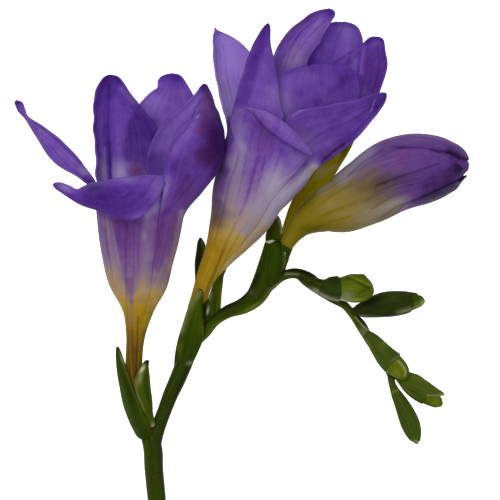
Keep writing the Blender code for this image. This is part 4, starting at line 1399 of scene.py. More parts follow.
MIDDLE_TUBE_MARKS = [
    Line([(231, 122), (227, 148)], 5.0, 0.12, 0.36),
    Line([(226, 172), (223, 190)], 5.5, 0.08, 0.44),
    Line([(220, 204), (217, 222)], 8.5, 0.05, 0.7),
    Line([(244, 140), (238, 170), (230, 204)], 8.0, -0.05, -0.3),
    Dab(272, 185, 11, 18, 25, -0.05, -0.95),
    Dab(256, 206, 20, 10, 0, -0.03, -0.3),
    Dab(284, 192, 8, 12, 20, -0.02, -0.25),
    Line([(262, 146), (254, 172), (247, 198), (240, 214)], 1.2, 0.12, 0.22),
    Line([(268, 150), (261, 174), (253, 202)], 0.9, 0.08, 0.15),
    Line([(279, 158), (270, 180), (261, 206)], 1.3, 0.09, 0.1),
    Line([(286, 164), (276, 188), (266, 208)], 0.9, 0.07, 0.1),
    Line([(250, 140), (244, 170), (236, 206)], 0.9, 0.07, 0.1),
    Line([(277, 184), (290, 175), (300, 168)], 0.9, -0.03, -0.35),
    Line([(306, 170), (292, 190), (276, 213)], 3.4, 0.1, 0.05),
    Line([(236, 222), (224, 250), (213, 276), (203, 298)], 0.9, 0.0, 0.4),
    Line([(243, 226), (229, 252), (217, 276)], 0.8, 0.0, 0.32),
    Line([(250, 230), (234, 256), (219, 280)], 0.8, 0.0, 0.26),
    Line([(228, 236), (218, 262), (206, 288)], 0.8, 0.0, 0.28),
    Dab(245, 229, 9, 8, 0, 0.1, -0.24),
    Line([(222, 272), (232, 258), (244, 246), (258, 236)], 5.0, 0.05, -0.24),
    Line([(282, 206), (268, 222)], 7.0, 0.0, -0.5),
    Dab(270, 206, 20, 11, -30, -0.04, -0.4),
    Line([(286, 196), (300, 181), (312, 170)], 5.0, -0.1, -0.85),
    Line([(222, 250), (214, 268)], 5.0, 0.0, 0.14),
    Dab(233, 212, 8, 7, 0, 0.02, 0.22),
    Dab(236, 164, 7, 12, 0, -0.04, -0.16),
    Dab(276, 212, 7, 6, -30, -0.04, -0.3),
    Line([(236, 256), (228, 264)], 3.0, 0.04, -0.2),
    Line([(214, 248), (206, 272)], 2.0, 0.0, -0.14),
]
MIDDLE_MARKS = {
    "left_back": [
        # Painted light: brighter violet for light coming through the tepal, and paler where its neighbours
        # shade it
        Dab(230, 66, 20, 34, 0, 0.0, -0.22, -0.3),
        Dab(217, 90, 7, 16, 0, -0.1, -0.1, -0.1),
        Dab(228, 106, 9, 14, 0, -0.12, -0.45, -0.3),
        Line([(216, 40), (224, 70), (232, 100)], 1.0, 0.03),
        Line([(224, 44), (232, 70), (238, 96)], 1.0, 0.03),
        Line([(213, 36), (219, 33)], 2.0, 0.1),
    ],
    "left_front": [
        Patch([(268, 22), (256, 42), (246, 72), (236, 104), (248, 106), (256, 78), (264, 46)],
              3.0, 0.1, 0.12),
        Line([(267, 52), (264, 76), (260, 100)], 7.0, -0.04, -0.02),
        Dab(274, 96, 8, 12, 0, -0.04, -0.14),
        Line([(269, 26), (274, 60), (278, 92)], 1.2, 0.06),
    ],
    "back_left": [
        Line([(320, 22), (305, 42), (291, 64)], 7.0, -0.04, -0.08, 0.14),
        Line([(278, 46), (290, 28), (310, 15)], 3.0, 0.03, 0.05, 0.4),
        Dab(292, 60, 9, 12, 20, -0.08, -0.16),
        Dab(331, 13, 5, 4, 0, 0.16, 0.2),
        Line([(284, 56), (300, 32), (318, 18)], 0.8, 0.06, 0.15),
        Line([(292, 60), (308, 38), (326, 20)], 0.8, 0.05, 0.12),
    ],
    "back": [
        Line([(318, 58), (332, 36)], 3.0, -0.05),
        Line([(352, 52), (330, 66)], 1.2, 0.08, 0.2),
        Dab(312, 62, 12, 8, -30, 0.06, 0.1),
        Dab(348, 48, 9, 12, 0, -0.05, -0.06),
        Dab(345, 26, 14, 4, 0, -0.04),
        Dab(348, 30, 10, 8, 0, -0.08, -0.12),
    ],
    "right_back": [
        Dab(374, 70, 14, 30, 0, 0.0, 0.15, 0.2),
        Line([(360, 52), (358, 72), (352, 92)], 1.1, 0.06, 0.25),
        Line([(368, 48), (367, 70), (360, 94)], 0.9, 0.04, 0.2),
        Line([(378, 46), (380, 70), (374, 92)], 1.0, 0.05, 0.2),
        Line([(364, 47), (361, 72)], 2.0, -0.08, -0.1),
        Dab(376, 44, 9, 6, 0, -0.1, -0.14),
        Dab(356, 62, 5, 12, 10, -0.08, -0.1),
        Dab(364, 92, 7, 9, 0, -0.12, -0.14),
    ],
    "inner": [
        Dab(346, 78, 11, 10, 0, 0.12, 0.16),
        Line([(342, 80), (330, 93), (316, 104)], 4.0, 0.05, 0.06),
        # Painted light: a paler, brighter patch at the left edge
        Dab(284, 104, 8, 20, 0, -0.1, -0.12, -0.16),
        Dab(310, 76, 16, 6, 0, -0.03, -0.03),
        Dab(292, 118, 10, 8, 0, -0.03, -0.05),
    ],
    "right_front": [
        Line([(292, 116), (306, 107), (326, 102.5), (348, 99), (372, 93)], 1.1, -0.12, -0.08),
        Dab(374, 104, 7, 10, 40, 0.08, 0.3),
        Line([(371, 111), (374.5, 100)], 0.9, -0.1, -0.5),
        Line([(300, 130), (330, 122), (362, 106)], 0.9, 0.05),
        Line([(306, 146), (332, 134), (362, 116)], 5.0, 0.04),
        Line([(322, 161), (334, 151), (345, 143)], 1.2, 0.06, 0.9, 0.7),
        Line([(326, 156), (350, 137)], 6.0, 0.08, 0.3),
        Dab(300, 144, 15, 10, -20, -0.05, -0.16),
        Line([(292, 190), (302, 178), (314, 167)], 5.0, -0.1, -0.75),
        Line([(356, 132), (374, 112), (384, 96)], 2.2, 0.06, 0.25),
    ],
    "front": [
        Line([(252, 108), (270, 117), (284, 131), (298, 145), (310, 154)], 5.0, -0.04, -0.04),
        # Painted shadow under the rolled lip
        Line([(246, 118), (258, 125), (272, 142), (284, 154)], 4.0, 0.06, 0.1),
        Dab(240, 134, 9, 20, 0, -0.05, -0.15),
        Dab(264, 142, 12, 18, 0, 0.0, 0.08, 0.3),
        Line([(262, 128), (258, 150)], 1.3, 0.1, 0.12),
        Line([(272, 140), (268, 160)], 1.1, 0.08, 0.1),
        Line([(254, 122), (250, 150)], 0.9, 0.06, 0.08),
        Dab(294, 162, 12, 9, 0, -0.05, -0.1),
    ],
}
RIGHT_MARKS = [
    Dab(352, 178, 16, 12, -30, 0.08),
    Dab(324, 188, 9, 5, -35, 0.05, -0.24),
    Line([(342, 178), (356, 164), (370, 152)], 7.0, 0.1, -0.3),
    Dab(404, 178, 13, 8, -20, -0.08, 0.5),
    Dab(345, 158, 16, 8, -40, 0.02, -0.05, 0.12),
    Dab(381, 182, 16, 8, -22, -0.08, 0.7),
    Dab(362, 188, 12, 6, -22, -0.06, 0.3),
    Dab(396, 203, 18, 6, -20, -0.16, -0.26),
    Dab(370, 214, 18, 8, -20, -0.1, -0.16),
    Dab(345, 214, 14, 8, -20, -0.06, -0.05),
    Dab(330, 205, 10, 7, -40, -0.03, -0.05),
    Line([(348, 176), (364, 162), (384, 150)], 1.1, 0.06, 0.15),
    Line([(356, 180), (374, 166), (398, 158)], 1.1, -0.02, -0.06),
    Line([(368, 178), (386, 170), (412, 166)], 1.0, -0.02, -0.05),
    # Painted shade in the front tepal's middle fold
    Line([(376, 186), (404, 175), (438, 164)], 1.2, 0.05, 0.45),
    Line([(372, 194), (396, 184), (420, 178)], 1.0, 0.0, 0.3),
    Line([(366, 200), (390, 190), (412, 184)], 1.0, 0.0, 0.25),
    Line([(300, 230), (330, 212), (356, 202)], 1.0, 0.0, 0.2),
    Line([(296, 236), (322, 224), (350, 216)], 1.0, 0.0, 0.2),
    Line([(310, 212), (332, 196), (350, 186)], 1.0, 0.0, 0.15),
    Dab(310, 228, 16, 4, -5, -0.06, 0.2),
    Line([(382, 216), (396, 206), (414, 200)], 1.0, -0.02, 0.2),
    Line([(372, 208), (392, 196), (410, 190)], 0.9, -0.02, 0.25),
]
RIGHT_TEPAL_MARKS = {
    "top": [
        Line([(392, 147.5), (417, 149), (449, 153), (467, 162)], 1.6, 0.12, 0.5),
        Line([(449, 151), (458, 156), (468, 162)], 3.0, 0.1, 0.5),
        Dab(410, 139, 26, 4, 0, -0.06),
    ],
    "under": [
        # Painted shadow cast by the front tepal's lower edge
        Line([(414, 201), (431, 192), (446, 184), (462, 174)], 3.0, 0.12, 0.6),
        Line([(416, 204), (436, 196), (454, 186), (466, 176)], 3.0, 0.0, 0.1),
        Dab(396, 208, 14, 5, -20, -0.06, -0.15),
        Dab(442, 194, 26, 8, -24, 0.08, 0.5),
    ],
    "front": [
        Dab(434, 182, 22, 9, -25, 0.06, 0.4),
        Dab(456, 170, 10, 9, 0, 0.05, 0.4),
        Dab(400, 160, 14, 8, -20, 0.04, 0.0, 0.25),
        Dab(440, 158, 16, 5, 10, -0.03),
        Line([(394, 150), (420, 152), (448, 156)], 2.0, -0.05),
        Dab(462, 168, 6, 5, 0, 0.1, 0.25),
    ],
}
LEAF_MARKS = {
    "left_bract_1": [
        Line([(119, 352), (126, 371), (134, 393), (142, 412)], 1.0, 0.06, 0.0, 0.03),
        Dab(122.6, 359, 1.2, 5, -20, 0.2, 0.0, 0.16),
        Dab(131, 392, 3, 26, -18, -0.1, 0.25),
        Line([(118, 372), (125, 405), (133, 430)], 2.0, 0.06),
        Dab(146, 432, 6, 6, 0, -0.1, 0.2),
        Line([(120.5, 366), (128, 394), (137, 420)], 0.8, -0.08, 0.15),
    ],
    "left_bract_2": [
        Dab(142.4, 369, 1.3, 3.8, 28, 0.2, 0.0, 1.0),
        Dab(139.8, 378, 2.2, 7, 10, 0.24, 0.0, 0.14),
        Dab(147.4, 362, 1.8, 3.2, 0, -0.2, 0.7, -0.2),
        Line([(148.4, 368), (149.6, 385), (151, 400)], 1.2, 0.1),
        Line([(136, 380), (138, 394), (144, 410)], 1.0, 0.1, 0.0, 0.06),
        Dab(152.5, 427, 2.0, 4.0, 0, 0.3, 0.0, 0.5),
        Line([(144, 376), (146, 394), (150, 412)], 0.8, -0.1, 0.15),
    ],
    "middle_bract_front": [
        Line([(199.5, 292), (192.4, 301), (187.6, 314), (182, 331)], 3.4, 0.36, 0.0, 0.08),
        Dab(196, 304, 5, 12, 0, 0.14),
        Line([(202.4, 300), (202.6, 318)], 1.4, -0.1, 0.2),
        Dab(204, 328, 4, 10, 0, 0.3),
        Dab(181, 348, 3, 8, 10, 0.24),
        Dab(190, 328, 6, 16, 12, 0.1),
        Line([(176, 352), (175.4, 366)], 2.6, -0.2, 0.35),
        Dab(189, 362.5, 2.6, 1.6, -20, 0.1, 0.0, 0.28),
        Line([(199, 300), (192, 320), (184, 352)], 0.7, -0.06, 0.15),
        Line([(196.4, 296), (188, 318), (180, 350)], 0.7, -0.06, 0.12),
    ],
    "middle_bract_left": [
        Line([(201.5, 241), (204, 252), (203.4, 268)], 1.6, 0.3, 0.0, 0.1),
        Dab(197, 270, 3, 24, 0, -0.12, 0.2),
    ],
    "middle_bract_right": [
        Line([(225, 269), (222.4, 282), (220.6, 300)], 1.4, 0.1),
        Dab(213, 300, 3, 12, 10, -0.1, 0.3),
    ],
    "right_bract_upper": [
        Line([(278.4, 218), (281.6, 225), (282.2, 233)], 1.6, 0.3, 0.0, 0.6),
        Dab(270, 236, 4, 6, 0, -0.04, 0.1),
        Line([(266, 241.4), (281, 240.4)], 1.2, -0.1, 0.7),
    ],
    "right_bract_lower": [Dab(286, 256, 3, 12, 10, -0.06, 0.2)],
    "green_tepal": [
        Line([(284, 226), (294, 198), (314, 173), (332, 157)], 1.6, -0.2, 0.15),
        Line([(292, 226), (306, 206), (330, 183), (344, 163), (352, 146)], 1.8, 0.22),
        Dab(345, 150, 4, 8, 30, -0.12, 0.3, -0.1),
        Dab(282, 240, 4, 8, 0, -0.2, 0.2),
        Line([(287, 226), (300, 201), (322, 177), (340, 160)], 0.8, -0.08, 0.1),
        Line([(318, 177), (336, 166)], 3.0, 0.1, 0.0, 0.2),
        Dab(319, 168, 6, 5, -30, 0.05, 0.1, 0.5),
    ],
    "right_sheath": [
        Patch([(265, 240), (276, 240), (266.5, 245.4)], 0.9, 0.2, 0.0, 1.0),
        Line([(265, 250), (262.4, 262), (259, 276)], 3.2, -0.14, 0.35),
        Line([(272, 248), (270, 264), (266, 280)], 3.0, 0.06),
        Line([(283.6, 249), (284.6, 258), (283, 269)], 2.2, 0.36),
        Dab(285.6, 253, 1.3, 1.3, 0, 0.3, 0.0, 1.0),
        Line([(276, 241), (281.6, 243)], 1.4, -0.2, 0.7),
    ],
    "middle_scale_white": [
        Dab(207.6, 311, 1.1, 4, 14, 0.2, 0.0, 0.5),
        Line([(204.4, 304), (204.2, 320)], 2.0, -0.3, 0.6, -0.4),
    ],
    "middle_scale_green": [Line([(211, 293), (209, 304)], 1.2, 0.3, 0.0, 0.3)],
    "bud_4_point": [
        Line([(408, 389.5), (419, 395), (443, 395.5)], 1.2, 0.3, 0.0, 0.2),
        Dab(443, 395, 3, 2, 0, 0.2, 0.2, 0.1),
    ],
}
BUD_MARKS = {
    "bud_1": [
        Line([(348, 277.6), (359.6, 283), (369.6, 288)], 0.8, -0.2, 0.5),
        Line([(350, 276.6), (361, 281), (370.4, 285.6)], 1.4, 0.2),
        Line([(359, 293.4), (365, 290.6), (370, 288.4)], 0.8, -0.1, 0.4),
        Dab(346, 297, 7, 5, 0, 0.06, 0.0, 0.2),
        # Papery rim, with a painted glint along it
        Line([(337, 295), (341, 300), (350, 303)], 1.3, 0.2, 0.0, 0.6),
        Dab(365, 284, 8, 8, 0, -0.08, 0.15),
        Dab(357, 300, 8, 2.4, 0, 0.2),
    ],
    "bud_2": [
        Dab(394, 297, 6, 5, -20, 0.16),
        Dab(418, 301, 6, 4, 0, 0.1),
        Line([(398, 313), (412, 309.6), (423, 305)], 3.0, 0.4, 0.0, 0.1),
        Line([(396, 291.6), (410, 292.6), (420, 296)], 1.2, 0.2),
        Dab(423, 301.5, 2.4, 4, 0, 0.3, 0.0, 0.1),
    ],
    "bud_3": [
        Line([(398.6, 361), (404, 366.6), (406, 372), (404.4, 376)], 0.7, 0.25, 0.0, 0.2),
        Dab(397, 373, 5, 5, 0, 0.08),
        Line([(401, 358), (408, 368), (407.6, 374)], 1.4, -0.1, 0.2),
    ],
    "bud_4": [
        Line([(415, 391), (425, 394.6), (438, 395)], 0.9, 0.3, 0.0, 0.3),
        Dab(436, 403, 6, 5, 20, 0.12),
    ],
    "bud_5": [
        Line([(390.6, 378), (392, 392)], 3.0, 0.24),
        Dab(417, 441, 2.6, 3.4, 0, 0.3, 0.1, 0.12),
        Line([(396, 396), (400, 418), (409, 437)], 1.0, 0.16),
    ],
}
BUD_BRACT_MARKS = {
    "bud_1": [
        # Painted glint along the underside of the cup, in the papery colour
        Line([(320, 294), (330, 299), (342, 301.4)], 2.2, 0.24, 0.0, 0.36),
        Dab(334, 285, 6, 6, 0, -0.06, 0.1),
    ],
    "bud_2": [
        Line([(360, 315.4), (387, 317), (400, 315)], 1.2, 0.16, 0.0, 0.15),
        Line([(401, 312), (412, 309)], 1.4, 0.3),
        Dab(392, 298, 7, 5, -10, 0.12),
        Line([(398, 312), (410, 308.6)], 2.4, 0.3, 0.0, 0.1),
        Dab(372, 302, 12, 4, -14, -0.08, 0.2),
    ],
    "bud_3": [
        Line([(400, 355), (394, 361), (390, 367), (388, 371)], 1.4, 0.1, 0.15, 0.08),
        Dab(394, 360, 2.0, 2.4, 0, 0.0, 0.5, 0.1),
        Line([(368, 338), (380, 352), (390, 366)], 3.6, 0.06),
        Dab(384, 344, 6, 6, 0, 0.2),
        Line([(367, 341), (376, 356), (386, 369)], 1.2, 0.16),
    ],
    "bud_4": [
        Line([(400, 384), (412, 394.6), (423, 403)], 1.2, 0.16),
        Line([(424, 404), (427, 398), (430, 393)], 1.2, 0.2),
    ],
    "bud_5": [
        Line([(392.6, 392.6), (398, 390)], 1.4, 0.3),
        Line([(404, 393), (413, 410), (420, 430)], 1.0, 0.1),
        Dab(404, 410, 6, 18, -20, -0.04),
        Dab(416, 440, 4, 4, 0, 0.1),
    ],
}
STEM_MARKS = [
    Line([(190, 362), (182, 384), (174, 404), (166, 424), (164, 440)], 2.6, -0.12, 0.25),
    Line([(146, 440), (148, 470), (151, 500), (168, 672)], 2.4, 0.12),
    Line([(162, 440), (163, 470), (167, 500), (184, 672)], 3.0, -0.16, 0.3),
    Line([(204, 340), (214, 325), (232, 317), (250, 309.6), (264, 300), (270, 290)], 2.6, 0.34),
    Line([(212, 312), (230, 305), (247, 292), (256, 276)], 3.4, -0.16, 0.4),
    Dab(251, 292, 4, 3, 0, -0.1, 0.4, 0.06),
    Dab(200, 330, 6, 8, 0, 0.06),
    Line([(285, 270), (296, 269.6), (306, 272), (322, 279)], 2.0, -0.3, 0.45),
    Line([(276, 287), (284, 281), (293, 279), (300, 282), (312, 292)], 2.2, 0.3),
    Line([(286, 274), (298, 274.4)], 1.2, 0.06, 0.0, 0.14),
    Dab(303, 277, 9, 6, 15, -0.1, 0.2),
    # Painted glint, in the papery colour
    Dab(316, 291, 5, 2.2, 30, 0.1, 0.0, 0.34),
    Line([(328, 299.6), (340, 306), (348, 311), (358, 330)], 1.8, 0.24),
    Line([(355, 317), (363, 326), (371, 334)], 0.7, 0.2, 0.0, 0.22),
    Dab(276, 284, 5, 4, 0, 0.3, 0.0, 0.1),
    Dab(364, 332, 5, 6, 0, 0.3, 0.0, 0.1),
    Dab(251, 307, 9, 3, -20, 0.2),
    Line([(358, 316), (366, 325), (374, 333)], 1.2, -0.2, 0.35),
    Dab(388, 371, 2.4, 2.4, 0, 0.2, 0.0, 0.4),
    Line([(350, 316), (360, 334), (372, 354), (386, 370)], 1.6, 0.16),
]


# Each open bloom's tube: its tint, shade and warmth from its neck, at -1, to its throat, at 0
Neck = namedtuple("Neck", "tint shade warm")
LEFT_NECK = Neck(
    tint=[
        (-1.0, 0.02), (-0.6, 0.05), (-0.47, 0.08), (-0.42, 0.12), (-0.365, 0.21), (-0.3, 0.31),
        (-0.22, 0.41), (-0.13, 0.51), (0.0, 0.57),
    ],
    shade=[
        (-1.0, 0.7), (-0.79, 0.66), (-0.69, 0.56), (-0.6, 0.38), (-0.5, 0.14), (-0.44, 0.0),
        (-0.3, 0.1), (-0.2, 0.06), (0.0, 0.0),
    ],
    warm=[(-1.0, 0.0), (-0.46, 0.04), (-0.3, 0.36), (0.0, 0.42)],
)
MIDDLE_NECK = Neck(
    tint=[(-1.0, 0.05), (-0.6, 0.08), (-0.5, 0.14), (-0.42, 0.2), (-0.34, 0.28), (-0.24, 0.4), (0.0, 0.55)],
    shade=[(-1.0, 0.22), (-0.72, 0.16), (-0.5, 0.13), (-0.38, 0.1), (-0.28, 0.0)],
    warm=[(-1.0, 0.0), (-0.4, 0.06), (-0.26, 0.24), (0.0, 0.16)],
)

# Each tepal's tint at the throat, about halfway out and at its tip
LEFT_TINTS = {
    "far_left": (0.6, 0.57, 0.54),
    "back_left": (0.56, 0.68, 0.74),
    "back_right": (0.52, 0.53, 0.58),
    "right_back": (0.6, 0.64, 0.6),
    "right_front": (0.6, 0.68, 0.72),
    "front": (0.64, 0.73, 0.77),
}
MIDDLE_TINTS = {
    "left_back": (0.5, 0.5, 0.5),
    "left_front": (0.58, 0.66, 0.74),
    "back_left": (0.56, 0.54, 0.6),
    "back": (0.62, 0.66, 0.66),
    "right_back": (0.7, 0.72, 0.74),
    "inner": (0.64, 0.66, 0.68),
    "right_front": (0.62, 0.64, 0.7),
    "front": (0.56, 0.62, 0.62),
}

# Tints of the other pieces. The right bloom's go from its foot, at 0, to its far end, at 1.
RIGHT_TINT = [
    (0.0, 0.02), (0.2, 0.08), (0.34, 0.2), (0.46, 0.36), (0.58, 0.56), (0.66, 0.72), (0.8, 0.82), (1.0, 0.9),
]
LEAF_TINT = {
    "left_bract_1": 0.56,
    "left_bract_2": 0.68,
    "middle_bract_front": 0.5,
    "middle_bract_left": 0.42,
    "middle_bract_right": 0.72,
    "right_bract_upper": 0.74,
    "right_bract_lower": 0.8,
    "green_tepal": 0.45,
    "right_sheath": 0.42,
    "middle_scale_white": 0.42,
    "middle_scale_green": 0.56,
    "middle_margin": 0.84,
    "bud_4_point": 0.72,
}
BUD_TINT = {"bud_1": 0.78, "bud_2": 0.46, "bud_3": 0.82, "bud_4": 0.74, "bud_5": 0.72}
STEM_TINT = 0.36

# What a tepal's midrib, its tip and a leaf's edges add to the tint
MIDRIB_TINT = 0.05
TIP_TINT = 0.05
EDGE_TINT = 0.1


# Open blooms


Bloom = namedtuple("Bloom", "name tube tepals neck tints tube_marks marks skin seed stamens_start")
OPEN_BLOOMS = [
    Bloom("left", photo_tube(LEFT_TUBE), LEFT_TEPALS, LEFT_NECK, LEFT_TINTS, LEFT_TUBE_MARKS, LEFT_MARKS,
          left_petal, 1, 0.572),
    Bloom("middle", photo_tube(MIDDLE_TUBE), MIDDLE_TEPALS, MIDDLE_NECK, MIDDLE_TINTS, MIDDLE_TUBE_MARKS,
          MIDDLE_MARKS, middle_petal, 11, 0.514),
]


def tepal_paint(grid, along, tepal, bloom):
    """The tube's colours up to the throat, then the tepal's own out to its tip."""
    low, halfway, high = bloom.tints[tepal.name]
    blade_tint = graded(along, [(0.0, low), (0.45, halfway), (1.0, high)])
    on_tube = np.minimum(along * (1 - tepal.start), 0.0)
    out = smooth_step(along, -0.05, 0.22)
    paint = np.zeros(grid.shape)
    paint[..., 0] = (graded(on_tube, bloom.neck.tint) * (1 - out) + blade_tint * out)[:, None]
    paint[..., 1] = (graded(on_tube, bloom.neck.shade) * (1 - out))[:, None]
    paint[..., 2] = (graded(on_tube, bloom.neck.warm) * (1 - out))[:, None]
    u = np.linspace(-1.0, 1.0, grid.shape[1])[None, :]
    t = np.clip(along, 0, 1)[:, None]
    paint[..., 0] += MIDRIB_TINT * np.exp(-(u / 0.06) ** 2) * smooth_step(t, 0.0, 0.3) * (1 - 0.5 * t)
    paint[..., 0] += TIP_TINT * smooth_step(t, 0.86, 1.0)
    tube_share = 1 - smooth_step(along, 0.12, 0.26)
    blade_share = smooth_step(along, -0.02, 0.08)
    paint += brush(grid, bloom.tube_marks) * tube_share[:, None, None]
    return paint + brush(grid, bloom.marks[tepal.name]) * blade_share[:, None, None]


def add_open_bloom(bloom):
    """The tepals of an open bloom, each with its share of the tube, and the tube's lining."""
    node = bloom.name + "_bloom"
    for number, tepal in enumerate(bloom.tepals, bloom.seed):
        grid, along = tepal_form(bloom.tube, tepal, number)
        above_table(grid, TEPAL_THICK)
        paint = tepal_paint(grid, along, tepal, bloom)
        grain = grain_of(grid, TEPAL_GRAIN, number)
        add_grid(bloom.name + "_tepal_" + tepal.name, grid, paint, grain, bloom.skin, node, TEPAL_THICK)
    grid, steps = round_form(bloom.tube, LINING_MESH, end=0.96, inset=LINING_DEPTH)
    paint = painted(grid, graded(steps - 1.0, bloom.neck.tint)[:, None])
    grain = grain_of(grid, ROUND_GRAIN, bloom.seed + 9)
    add_grid(bloom.name + "_tube_lining", grid, paint, grain, bloom.skin, node, TEPAL_THICK, "open")


def join_rounds(shape, tube, mesh, tint=0.0, seed=0):
    """Add a closed round form to a shape that holds several."""
    grid, _ = round_form(tube, mesh)
    run = grid_shape(grid, painted(grid, tint), grain_of(grid, STAMEN_GRAIN, seed), "filled")
    kept = bpy.data.meshes.new("run")
    run.to_mesh(kept)
    run.free()
    shape.from_mesh(kept)
    bpy.data.meshes.remove(kept)


# Stamens: radii from foot to top, the anther as length and radius, the style's branch as length, spread
# and radius, and the seat that joins them to the tube as a share of its length and a radius
FILAMENT = [0.22, 0.22, 0.22, 0.22, 0.2, 0.16]
STYLE = [0.24] * 6
ANTHER = [(0.0, 0.12), (0.8, 0.42), (2.6, 0.5), (4.4, 0.42), (5.2, 0.1)]
BRANCH = [(0, 0, 0.2), (1.0, 0.35, 0.17), (2.0, 1.0, 0.15), (2.6, 1.8, 0.1)]
SEAT = [(-0.01, 1.3), (0.012, 1.3), (0.03, 0.9)]
ANTHER_BACK = 3.2
ANTHER_OUT = 0.35


def add_stamens(bloom):
    """Three stamens and the forked style inside an open bloom."""
    tube = bloom.tube
    start = bloom.stamens_start
    shape = bmesh.new()
    span = np.linspace(start, 1.0, len(STYLE))
    for azimuth in (30, 150, 270):
        points = [tube.line.at(s) + tube.outward(s, azimuth) * (0.8 + 1.2 * (s - start)) for s in span]
        join_rounds(shape, Tube(points, FILAMENT), STAMEN_MESH, 0.4, 5)
        along = unit(points[-1] - points[-2])
        base = points[-1] - along * ANTHER_BACK + tube.outward(1.0, azimuth) * ANTHER_OUT
        anther = Tube([base + along * length for length, _ in ANTHER], [radius for _, radius in ANTHER])
        join_rounds(shape, anther, STAMEN_MESH, 0.32, 6)
    style = [tube.line.at(s) for s in span]
    join_rounds(shape, Tube(style, STYLE), STAMEN_MESH, 0.5, 7)
    along = unit(style[-1] - style[-2])
    for azimuth in (90, 210, 330):
        out = tube.outward(1.0, azimuth)
        branch = [style[-1] + along * length + out * spread for length, spread, _ in BRANCH]
        join_rounds(shape, Tube(branch, [radius for *_, radius in BRANCH]), STAMEN_MESH, 0.75, 8)
    seat = Tube([tube.line.at(start + share) for share, _ in SEAT], [radius for _, radius in SEAT])
    join_rounds(shape, seat, DISC_MESH, 0.2, 9)
    label = bloom.name + "_stamens_fine"
    add_piece(label, keep_mesh(shape, label), stamen_skin, bloom.name + "_stamens")


# Right bloom


def wrap_relief(grid, along, number):
    """How far a wrapped tepal is pushed in and out, by its edge waves and its pleats."""
    u = np.linspace(-1.0, 1.0, grid.shape[1])[None, :]
    t = along[:, None]
    wave = np.sin(31.0 * t + 2.0 * number) + 0.6 * np.sin(53.0 * t + 1.0)
    pleats = np.sin(17.0 * u + 1.3 * number) + 0.6 * np.sin(29.0 * u + 4.0 * t)
    lift = WRAP_WAVE_HEIGHT * np.abs(u) ** 6 * wave * smooth_step(t, 0.3, 0.6)
    middle = smooth_step(t, 0.15, 0.4) * (1 - u ** 4) * (1 - smooth_step(t, 0.8, 1.0))
    return lift + WRAP_PLEAT_HEIGHT * pleats * middle


def add_right_bloom():
    """The closed body, and the three outer tepals round it."""
    node = "right_bloom"
    tube = photo_tube(RIGHT_TUBE)
    grid, steps = round_form(tube, BODY_MESH, seams=0.02, inset=0.3)
    above_table(grid, 0.0)
    paint = painted(grid, graded(steps, RIGHT_TINT)[:, None], RIGHT_MARKS)
    grain = grain_of(grid, ROUND_GRAIN, 31)
    add_grid("right_body", grid, paint, grain, right_petal, node, ends="filled")
    for number, (name, (starts, ends, lifts, finish)) in enumerate(RIGHT_WRAPS.items()):
        grid, along = wrap_form(tube, starts, ends, finish, lifts, WRAP_MESH)
        grid = above_table(raised(grid, -wrap_relief(grid, along, number)), TEPAL_THICK)
        marks = RIGHT_MARKS + RIGHT_TEPAL_MARKS[name]
        paint = painted(grid, graded(along, RIGHT_TINT)[:, None], marks)
        grain = grain_of(grid, TEPAL_GRAIN, 41 + number)
        add_grid("right_tepal_" + name, grid, paint, grain, right_petal, node, TEPAL_THICK)


# Bracts and other small sheets


def add_leaf(label, name, leaf, mesh, seed, skin, node, thick):
    """A bract or scale, a little lighter along its edges."""
    grid = above_table(leaf_form(leaf, mesh), BRACT_THICK)
    u = np.linspace(-1.0, 1.0, grid.shape[1])[None, :]
    paint = painted(grid, LEAF_TINT[name] + EDGE_TINT * np.abs(u) ** 8, LEAF_MARKS.get(name, ()))
    add_grid(label, grid, paint, grain_of(grid, LEAF_GRAIN, seed), skin, node, thick)


def add_leaves():
    """Every bract, the slim green tepal, and the small pieces."""
    for number, (name, leaf) in enumerate(LEAVES.items(), 51):
        skin, slot = (strip_skin, name) if name == "green_tepal" else (bract_skin, "bracts")
        add_leaf(name + "_fine", name, leaf, BRACT_MESH, number, skin, name, BRACT_THICK)
    other_skins = {"middle_bloom": middle_petal, "bud_4": wrap_skin}
    for number, (name, (node, slot, leaf)) in enumerate(SMALL_PIECES.items(), 151):
        skin = other_skins.get(node, bract_skin)
        add_leaf(name, name, leaf, SCALE_MESH, number, skin, node, SCALE_THICK)


# Buds


def add_buds():
    """Each closed bud with the bracts round it."""
    for number, (name, knots) in enumerate(BUDS.items()):
        tube = photo_tube(knots)
        grid, _ = round_form(tube, BUD_MESH, seams=0.06)
        paint = painted(grid, BUD_TINT[name], BUD_MARKS[name])
        grain = grain_of(grid, BUD_GRAIN, 61 + number)
        add_grid(name + "_body", grid, paint, grain, bud_skin, name, ends="filled")
        for k, (first, last, finish, lift, tint) in enumerate(BUD_BRACTS[name], 1):
            lifts = [0.0, lift, lift, lift]
            grid, _ = wrap_form(tube, [first, first], [last, last], finish, lifts, BUD_WRAP_MESH)
            paint = painted(grid, tint, BUD_BRACT_MARKS[name])
            grain = grain_of(grid, BUD_WRAP_GRAIN, 61 + number + 10 * k)
            add_grid(f"{name}_bract_{k}", grid, paint, grain, wrap_skin, name, BUD_WRAP_THICK)


# Stem


def fused_mesh(shape):
    """The shape's runs as one skin: a fine voxel remesh, eased."""
    item = place_object("stem_rough", keep_mesh(shape, "stem_rough"))
    fuse = item.modifiers.new("Fuse", "REMESH")
    fuse.mode = "VOXEL"
    fuse.voxel_size = STEM_VOXEL * MM
    ease = item.modifiers.new("Ease", "SMOOTH")
    ease.factor = 0.5
    ease.iterations = 10
    graph = bpy.context.evaluated_depsgraph_get()
    graph.update()
    fused = bpy.data.meshes.new_from_object(item.evaluated_get(graph))
    bpy.data.objects.remove(item)
    for name in [kept.name for kept in fused.attributes if kept.name in ("paint", "grain")]:
        fused.attributes.remove(fused.attributes[name])
    return fused


